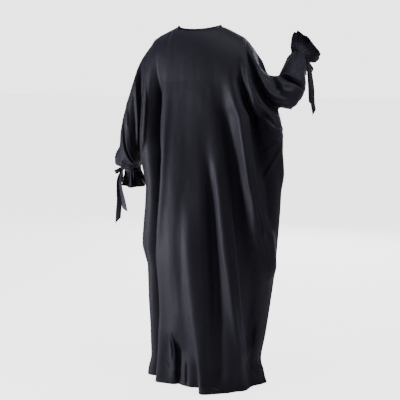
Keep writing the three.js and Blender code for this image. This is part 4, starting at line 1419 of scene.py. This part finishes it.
@dataclass
class Cuff(SubAssembly):
    """A frilled cuff below its tie, with a narrow turned hem."""

    name: str
    rows: tuple[ArmRow, ...]
    sleeve: ArmForm
    columns: int = 216
    steps: int = 56
    under_tie: tuple[float, float] = (0.3, 7.5)
    under_steps: int = 8
    waves: tuple[float, float] = (7.0, 5.0)  # how many there are, and how high
    fine: tuple[float, float] = (25.0, 1.3)
    fine_left: float = 0.68  # the height at which the sleeve's fine gathers end under the tie
    hem: float = 0.86
    hem_out: float = 0.35
    hem_sink: float = 0.4  # how deep its stitches press in
    hem_thick: float = 0.8

    def build(self, material: bpy.types.Material) -> tuple[bpy.types.Object, np.ndarray]:
        """The cuff's dressed wall, and the path of its hem stitches.

        Args:
            material: The cloth's material.

        Returns:
            The wall and the path.
        """
        turn = 360.0 * np.arange(self.columns) / self.columns
        path = self.sleeve.path(1.0)
        form = ArmForm(self.rows)
        start = np.linspace(*self.under_tie, self.under_steps)
        jitter = GATHER_SHIFT.lift(turn, np.ones(1))
        small = np.cos(np.radians(self.fine[0] * (turn + jitter)))
        ends = self.sleeve.points(np.ones(1), turn[None, :], self.fine_left * small[None, :])[0]
        under = ends[None] + start[:, None, None] * path
        place = np.linspace(self.rows[0].at, 1.0, self.steps)[1:]
        rise = ease(place, 0.1, 1.0)[:, None]
        spread = ease(place, self.rows[0].at, 0.4)[:, None]
        sway = FRILL_SHIFT.lift(turn, place[:, None]) * rise
        wave = self.waves[1] * rise * np.cos(np.radians(self.waves[0] * (turn + sway)))
        wave = wave + (self.fine_left + spread * (self.fine[1] * (1 - rise))) * small
        frill = form.points(place, np.broadcast_to(turn, (len(place), len(turn))), wave)
        # The frill eases out of the last ring under the tie
        blend = (1 - ease(place, self.rows[0].at, 0.42))[:, None, None]
        begin = form.points(np.full(1, self.rows[0].at), turn[None, :])[0]
        frill = frill + blend * (under[-1] - begin)
        outer = np.concatenate([under, frill])
        middle = outer.mean(axis=1, keepdims=True)
        normals = grid_normals(outer, outer - middle)
        depth = np.concatenate([np.zeros(len(start)), place])[:, None]
        sunk = self.hem_sink * np.exp(-(((depth - self.hem) / 0.02) ** 2))
        band = self.hem_out * ease(depth, self.hem - 0.03, self.hem) - sunk
        outer = outer + normals * band[..., None]
        thick = WALL + self.hem_thick * ease(depth, self.hem - 0.02, self.hem + 0.02)
        inner = outer - normals * thick[..., None]
        facing = np.cross(outer[1, 0] - outer[0, 0], outer[0, 1] - outer[0, 0]) @ normals[0, 0]
        piece = wall_mesh(f"{self.name}_cloth", outer, inner, True, facing > 0)
        row = int(np.argmin(np.abs(depth[:, 0] - self.hem)))
        seam = outer[row] + normals[row] * PROUD
        return self.dress(piece, material, Slot.CLOTH), np.concatenate([seam, seam[:1]])


@dataclass(frozen=True)
class Loop:
    """A loop of a bow: how far it goes out from the knot, and the direction that it opens toward."""

    reach: tuple[float, float, float]
    opening: tuple[float, float, float]


@dataclass(frozen=True)
class Tail:
    """A tail of a bow: its width, its slanted end, its flat direction at both ends and its path."""

    wide: float
    slant: float
    first: tuple[float, float, float]
    last: tuple[float, float, float]
    path: tuple[tuple[float, float, float], ...]


@dataclass
class Tie(SubAssembly):
    """The tie of a sleeve: one strip of cloth as its band, knot, loops and tails."""

    name: str
    form: ArmForm
    turn: float
    loops: tuple[Loop, ...]
    tails: tuple[Tail, ...]
    wide: float = 12.0
    thick: float = 1.6
    clear: float = 0.7
    strip: float = 1.3
    knot: tuple[float, float, float] = (6.0, 8.0, 6.4)
    knot_core: float = 0.6  # how much smaller than the knot its inside is
    strand: float = 0.09  # how high the strands of the knot stand, as a share of its size
    loop_wide: float = 18.0
    loop_open: float = 15.0
    loop_path: float = 2.15  # how long a loop's cloth is, by its reach
    loop_mean: float = 0.85  # how wide it is on the whole, by its full width

    def band(self) -> bpy.types.Object:
        """The band round the gathers, with a few folds along it.

        Returns:
            The band.
        """
        columns, rows = 128, 15
        turn = 360.0 * np.arange(columns) / columns
        middle, path = self.form.ring(np.ones(1))[0][0], self.form.path(1.0)
        ring = self.form.points(np.ones(1), turn[None, :])[0]
        out = unit(ring - middle)
        share = np.linspace(-1.0, 1.0, rows)
        fold = 0.5 * np.cos(share[:, None] * 9.0 + 1.2 * np.sin(np.radians(3 * turn)))
        crown = self.thick * np.sqrt(1 - 0.6 * share**4)[:, None] + fold
        along = share[:, None, None] * self.wide / 2 * path
        outer = ring + out * (self.clear + crown[..., None]) + along
        inner = ring + out * self.clear + along
        facing = np.cross(outer[1, 0] - outer[0, 0], outer[0, 1] - outer[0, 0]) @ out[0]
        return wall_mesh(f"{self.name}_band", outer, inner, True, facing > 0)

    def knot_spot(self) -> tuple[np.ndarray, np.ndarray, np.ndarray]:
        """Where the knot sits.

        Returns:
            Its middle, the direction out of the sleeve there, and the sleeve's own direction.
        """
        middle, path = self.form.ring(np.ones(1))[0][0], self.form.path(1.0)
        spot = self.form.points(np.ones(1), np.array([[self.turn]]))[0, 0]
        out = unit(spot - middle)
        return spot + out * (self.clear + self.knot[0]), out, path

    def knot_mesh(self) -> bpy.types.Object:
        """The knot: a strip wound round itself, as a ball with slanted furrows.

        Returns:
            The knot.
        """
        rows, columns = 26, 40
        polar = np.linspace(0.04, math.pi - 0.04, rows)[:, None]
        round_it = 2 * math.pi * np.arange(columns)[None, :] / columns
        x = np.cos(polar) * np.ones_like(round_it)
        y, z = np.sin(polar) * np.cos(round_it), np.sin(polar) * np.sin(round_it)
        slanted = np.cos(5.5 * (y + 0.55 * z) * math.pi / 2 + 0.7)
        furrow = 1 + self.strand * slanted - 0.06 * np.exp(-((z / 0.16) ** 2))
        spot, out, path = self.knot_spot()
        sideways = unit(np.cross(path, out))
        sizes = np.array(self.knot)
        frame_of = np.stack([out, sideways, unit(np.cross(out, sideways))])
        ball = np.stack([x, y, z], axis=-1) * furrow[..., None] * sizes @ frame_of + spot
        core = lerp(ball, np.broadcast_to(spot, ball.shape), self.knot_core)
        facing = np.cross(ball[9, 1] - ball[9, 0], ball[10, 0] - ball[9, 0]) @ (ball[9, 0] - spot)
        return wall_mesh(f"{self.name}_knot", ball, core, True, facing < 0)

    def strip_mesh(
        self, name: str, middle: np.ndarray, flat: np.ndarray, width: np.ndarray, cup: np.ndarray,
        slant: float = 0.0,
    ) -> bpy.types.Object:
        """A strip of doubled cloth along a path.

        Args:
            name: The piece's name.
            middle: The path.
            flat: The direction across the strip at each point of the path.
            width: The strip's width at each.
            cup: How far its edges curl at each.
            slant: How far one side of its end goes on past the other.

        Returns:
            The strip.
        """
        along = unit(np.gradient(middle, axis=0))
        flat = unit(flat - (flat * along).sum(-1, keepdims=True) * along)
        face = np.cross(along, flat)
        share = np.linspace(-1.0, 1.0, 9)
        shape = cup[:, None] * (share**2 - 0.4)[None, :]
        grid = middle[:, None] + flat[:, None] * (width[:, None] / 2 * share)[..., None]
        reach = ease(np.linspace(0.0, 1.0, len(middle)), 0.82, 1.0)
        grid = grid + along[:, None] * (slant / 2 * reach[:, None] * share)[..., None]
        grid = grid + face[:, None] * shape[..., None]
        half = self.strip / 2 * np.sqrt(1 - 0.7 * share**4)
        outer = grid + face[:, None] * half[None, :, None]
        inner = grid - face[:, None] * half[None, :, None]
        return wall_mesh(name, outer, inner, False, False)

    def loop_mesh(self, number: int, loop: Loop) -> bpy.types.Object:
        """One loop of the bow, out from the knot and back.

        Args:
            number: Its number in the tie.
            loop: Its reach and opening.

        Returns:
            The loop.
        """
        spot, _, _ = self.knot_spot()
        out = np.array(loop.reach, float)
        wide = unit(np.cross(np.array(loop.opening, float), out))
        opening = unit(np.cross(out, wide))
        t = np.linspace(0.0, 1.0, 57)
        sine = np.sin(math.pi * t)
        spread = self.loop_open / 2 * np.sin(2 * math.pi * t) * (0.6 + 0.4 * sine) + 2 * (1 - 2 * t)
        middle = spot + out * (np.maximum(sine, 0) ** 0.9)[:, None] + opening * spread[:, None]
        width = self.loop_wide * (0.45 + 0.55 * np.sqrt(np.maximum(sine, 0)))
        flat = np.broadcast_to(wide, middle.shape)
        cup = 1.6 * (1 - sine) * np.cos(2 * math.pi * t)
        return self.strip_mesh(f"{self.name}_loop_{number}", middle, flat, width, cup)

    def tail_mesh(self, number: int, tail: Tail) -> bpy.types.Object:
        """One tail of the bow, hanging from the knot.

        Args:
            number: Its number in the tie.
            tail: Its sizes and path.

        Returns:
            The tail.
        """
        spot, _, _ = self.knot_spot()
        knots = np.array(tail.path, float)
        reach = np.concatenate([[0.0], np.cumsum(np.linalg.norm(np.diff(knots, axis=0), axis=1))])
        t = np.linspace(0.0, 1.0, 90)
        axis = [curve_through(reach, knots[:, k], t * reach[-1]) for k in range(3)]
        middle = spot + np.stack(axis, axis=-1)
        flat = lerp(np.array(tail.first, float), np.array(tail.last, float), t[:, None])
        width = tail.wide * lerp(0.4, 1.0, ease(t, 0.0, 0.15))
        cup = 1.1 * np.sin(7.0 * t + number) * (1 - 0.4 * t)
        return self.strip_mesh(f"{self.name}_tail_{number}", middle, flat, width, cup, tail.slant)

    def cuts(self) -> list[tuple[float, float]]:
        """The flat sizes of its tails and then its loops.

        Returns:
            The width and length of each, in metres.
        """
        sizes = []
        for tail in self.tails:
            steps = np.diff(np.array(tail.path, float), axis=0)
            sizes.append((tail.wide * MM, np.linalg.norm(steps, axis=1).sum() * MM))
        for loop in self.loops:
            long = self.loop_path * np.linalg.norm(loop.reach)
            sizes.append((self.loop_wide * MM * self.loop_mean, long * MM))
        return sizes

    def build(self, material: bpy.types.Material) -> list[bpy.types.Object]:
        """All pieces of the tie, dressed.

        Args:
            material: The pressed cloth's material.

        Returns:
            Its tails, its loops, its band and its knot.
        """
        tails = [self.tail_mesh(k + 1, tail) for k, tail in enumerate(self.tails)]
        loops = [self.loop_mesh(k + 1, loop) for k, loop in enumerate(self.loops)]
        parts = [*tails, *loops, self.band(), self.knot_mesh()]
        return [self.dress(part, material, Slot.TRIM) for part in parts]


@dataclass
class NeckBinding(SubAssembly):
    """The bound neck edge: a strip folded over the top of the panels."""

    rise: float = 8.0
    thick: float = 3.0
    low: float = 0.4
    lean: tuple[float, float] = (0.62, 0.78)  # how far it goes in toward the neck, and up
    square: float = 0.6  # 1 would make its section round
    core: float = 0.45
    steps: int = 16
    stitches_below: float = 1.2
    stitches_in: float = 0.9

    def build(
        self, back: Sheet, front: Sheet, material: bpy.types.Material
    ) -> tuple[bpy.types.Object, np.ndarray]:
        """The dressed binding, and the path of the stitches under it.

        Args:
            back: The back panel.
            front: The front panel.
            material: The pressed cloth's material.

        Returns:
            The binding and the path.
        """
        angles = np.abs(back.across)
        neck = (angles >= NECK_ANGLE) & (angles <= 180.0 - NECK_ANGLE)
        loop = np.concatenate([back.points[-1, neck], front.points[-1, neck][::-1][1:-1]])
        along = unit(np.roll(loop, -1, axis=0) - np.roll(loop, 1, axis=0))
        inward = -loop * np.array([1.0, 1.0, 0.0])
        inward = unit(inward - (inward * along).sum(-1, keepdims=True) * along)
        up = inward * self.lean[0] + np.array([0.0, 0.0, self.lean[1]])
        up = unit(up - (up * along).sum(-1, keepdims=True) * along)
        out = unit(inward - (inward * up).sum(-1, keepdims=True) * up)
        turn = np.linspace(0.0, 2 * math.pi, self.steps + 1)[:-1]
        side = np.sign(np.sin(turn)) * np.abs(np.sin(turn)) ** self.square * self.thick / 2
        high = np.sign(np.cos(turn)) * np.abs(np.cos(turn)) ** self.square * self.rise / 2
        shell = loop + (self.low + self.rise / 2) * up
        grid = shell[None] + side[:, None, None] * out + high[:, None, None] * up
        grid = np.swapaxes(grid, 0, 1)
        hollow = shell[:, None] + (grid - shell[:, None]) * self.core
        first = np.concatenate([grid, grid[:1]])
        second = np.concatenate([hollow, hollow[:1]])
        facing = np.cross(first[0, 1] - first[0, 0], first[1, 0] - first[0, 0]) @ (first[0, 0] - shell[0])
        piece = wall_mesh("neck_binding_cloth", first, second, True, facing < 0)
        stitches = loop - self.stitches_below * up - out * (self.thick / 2 - self.stitches_in)
        return self.dress(piece, material, Slot.TRIM), np.concatenate([stitches, stitches[:1]])


@dataclass(frozen=True)
class Lamp:
    """A soft lamp, placed by how far it is to the camera's left, toward the camera and up."""

    name: str
    left: float
    toward: float
    up: float
    size: float
    watts: float
    aim: float = -0.65  # the height that it faces, in metres

    def place(self) -> None:
        """Adds the lamp, facing the garment."""
        data = bpy.data.lights.new(self.name, "AREA")
        data.shape = "SQUARE"
        data.size, data.energy = self.size, self.watts
        lamp = bpy.data.objects.new(self.name, data)
        turn = math.radians(CAMERA_TURN)
        side = Vector((math.cos(turn), math.sin(turn), 0.0))
        near = Vector((-math.sin(turn), math.cos(turn), 0.0))
        middle = Vector((0.0, 0.0, self.aim))
        lamp.location = middle + side * self.left + near * self.toward + Vector((0, 0, self.up))
        lamp.rotation_euler = (middle - lamp.location).to_track_quat("-Z", "Y").to_euler()
        bpy.context.scene.collection.objects.link(lamp)


LAMPS = (
    Lamp("key", left=3.2, toward=0.85, up=-0.3, size=0.8, watts=150.0),
    Lamp("top", left=-0.2, toward=0.7, up=2.7, size=1.6, watts=36.0),
    Lamp("fill", left=-2.0, toward=1.6, up=1.0, size=1.6, watts=6.0),
    Lamp("arm", left=-1.1, toward=0.5, up=1.05, size=0.5, watts=7.0),
    Lamp("front", left=-0.9, toward=-2.8, up=0.9, size=2.2, watts=70.0),
)


@dataclass(frozen=True)
class Studio:
    """The plain pale floor, the lamps and the camera, at the photograph's viewing angle."""

    distance: float = 3.2
    azimuth: float = CAMERA_TURN
    height: float = -0.15
    pitch: float = 9.3
    lens: float = 73.4
    sensor: float = 36.0
    floor: float = -1.4212
    floor_half: float = 30.0
    paper: str = "f4f4f4"
    glow: float = 2.9  # how bright the floor is to the camera
    seen: float = 3.2  # and the surroundings to the camera, and to the cloth
    felt: float = 0.06

    def camera(self) -> None:
        """Adds the scene's camera."""
        turn, tip = math.radians(self.azimuth), math.radians(self.pitch)
        data = bpy.data.cameras.new("camera")
        data.lens, data.sensor_width = self.lens, self.sensor
        data.clip_end = 200.0
        camera = bpy.data.objects.new("camera", data)
        camera.location = (-math.sin(turn) * self.distance, math.cos(turn) * self.distance, self.height)
        look = Vector((math.sin(turn) * math.cos(tip), -math.cos(turn) * math.cos(tip), -math.sin(tip)))
        camera.rotation_euler = look.to_track_quat("-Z", "Y").to_euler()
        bpy.context.scene.collection.objects.link(camera)
        bpy.context.scene.camera = camera

    def stage(self) -> None:
        """Adds the floor, the lamps and the white surroundings."""
        mesh = bpy.data.meshes.new("floor")
        wide = self.floor_half
        corners = [(-wide, -wide), (wide, -wide), (wide, wide), (-wide, wide)]
        mesh.from_pydata([(x, y, self.floor) for x, y in corners], [], [(0, 1, 2, 3)])
        floor = bpy.data.objects.new("floor", mesh)
        bpy.context.scene.collection.objects.link(floor)
        paper = bpy.data.materials.new("white_paper")
        paper.use_nodes = True
        shader = paper.node_tree.nodes["Principled BSDF"]
        shader.inputs["Base Color"].default_value = to_linear(self.paper)
        shader.inputs["Roughness"].default_value = 0.9
        # Seen directly the paper is bright, but it throws little light back on the cloth
        direct = add_node(paper.node_tree, "ShaderNodeLightPath").outputs["Is Camera Ray"]
        glow = add_node(paper.node_tree, "ShaderNodeMath", {"operation": "MULTIPLY"})
        paper.node_tree.links.new(direct, glow.inputs[0])
        glow.inputs[1].default_value = self.glow
        shader.inputs["Emission Color"].default_value = (1, 1, 1, 1)
        paper.node_tree.links.new(glow.outputs[0], shader.inputs["Emission Strength"])
        mesh.materials.append(paper)
        for lamp in LAMPS:
            lamp.place()
        world = bpy.data.worlds.new("studio")
        bpy.context.scene.world = world
        world.use_nodes = True
        tree = world.node_tree
        tree.nodes.clear()
        rays = add_node(tree, "ShaderNodeLightPath").outputs["Is Camera Ray"]
        seen = add_node(tree, "ShaderNodeBackground", Color=(1, 1, 1, 1), Strength=self.seen)
        felt = add_node(tree, "ShaderNodeBackground", Color=(1, 1, 1, 1), Strength=self.felt)
        mixed = add_node(tree, "ShaderNodeMixShader", Fac=rays)
        tree.links.new(felt.outputs[0], mixed.inputs[1])
        tree.links.new(seen.outputs[0], mixed.inputs[2])
        out = add_node(tree, "ShaderNodeOutputWorld")
        tree.links.new(mixed.outputs[0], out.inputs[0])


LEFT_TIE = Tie(
    "tie_left", ArmForm(LEFT_SLEEVE), 28.0,
    loops=(Loop((34, 6, -17), (0.1, 1, 0)), Loop((27, -26, -12), (1, 0.6, 0))),
    tails=(
        Tail(
            23, 28, (0.7, 0.7, 0), (0.98, 0.2, 0),
            (
                (3, 3, -3), (8, 3, -26), (16, 6, -58), (17, 6, -90), (16, 6, -130), (22, 4, -180),
                (26, 2, -222),
            ),
        ),
        Tail(
            27, -16, (0.6, -0.8, 0), (0.95, -0.3, 0),
            ((0, 5, -3), (3, 15, -28), (0, 28, -60), (-3, 24, -95), (-8, 18, -136), (-13, 16, -172)),
        ),
    ),
)
RIGHT_TIE = Tie(
    "tie_right", ArmForm(RIGHT_SLEEVE), 176.0,
    loops=(Loop((-2, -8, -52), (1, 0.2, 0.1)), Loop((-16, -20, -40), (1, -0.2, 0))),
    tails=(
        Tail(
            18, 24, (0.5, 0.86, 0), (0.9, 0.43, 0),
            ((-3, 0, -3), (-10, 2, -22), (-17, 2, -60), (-24, 3, -110), (-27, 4, -160), (-35, 6, -200)),
        ),
        Tail(
            18, -20, (0.9, 0.3, 0), (0.6, 0.8, 0),
            ((0, -5, -3), (-5, -14, -24), (-6, -24, -62), (-8, -30, -110), (-10, -34, -168)),
        ),
    ),
)


def state_cloth(
    ties: dict[str, list[bpy.types.Object]],
) -> None:
    """Pairs the parts of each tie with the tie's cut sizes, and does nothing with them.

    Args:
        ties: The parts of each tie by its name.
    """
    for tie, parts in zip((LEFT_TIE, RIGHT_TIE), ties.values()):
        for part, size in zip(parts, tie.cuts()):
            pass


def main() -> None:
    """Builds the garment's pieces in order, and hides the parts of the model that they stand for."""
    studio = Studio()
    studio.camera()
    studio.stage()
    cloth = Crepe().make()
    pressed = Crepe(name="pressed_crepe", colour="0e0d14", worn="131219", roughness=0.55).make()
    thread = Thread().make()
    garment = Garment()
    sheets = garment.build()
    back, front = sheets[:2]
    pieces = garment.dress_walls(sheets, cloth)
    seams = {}
    for name, rows, arm in (("cuff_left", LEFT_CUFF, Arm.LEFT), ("cuff_right", RIGHT_CUFF, Arm.RIGHT)):
        pieces[name], seams[name] = Cuff(name, rows, garment.arms[arm]).build(cloth)
    pieces["neck_binding"], seams["neck"] = NeckBinding().build(back, front, pressed)
    seams["hem"] = garment.hem_seam(back, front)
    stitches = StitchRow().sew_all(seams, thread)
    for name, piece in pieces.items():
        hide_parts(name)
    ties = {}
    for tie in (LEFT_TIE, RIGHT_TIE):
        parts = tie.build(pressed)
        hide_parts(tie.name)
        ties[tie.name] = parts
    state_cloth(ties)
    log.info("%d pieces, %d rows of stitches and %d ties", len(pieces), len(stitches), len(ties))


if __name__ == "__main__":
    logging.basicConfig(level=logging.INFO, format="%(name)s: %(message)s")
    main()
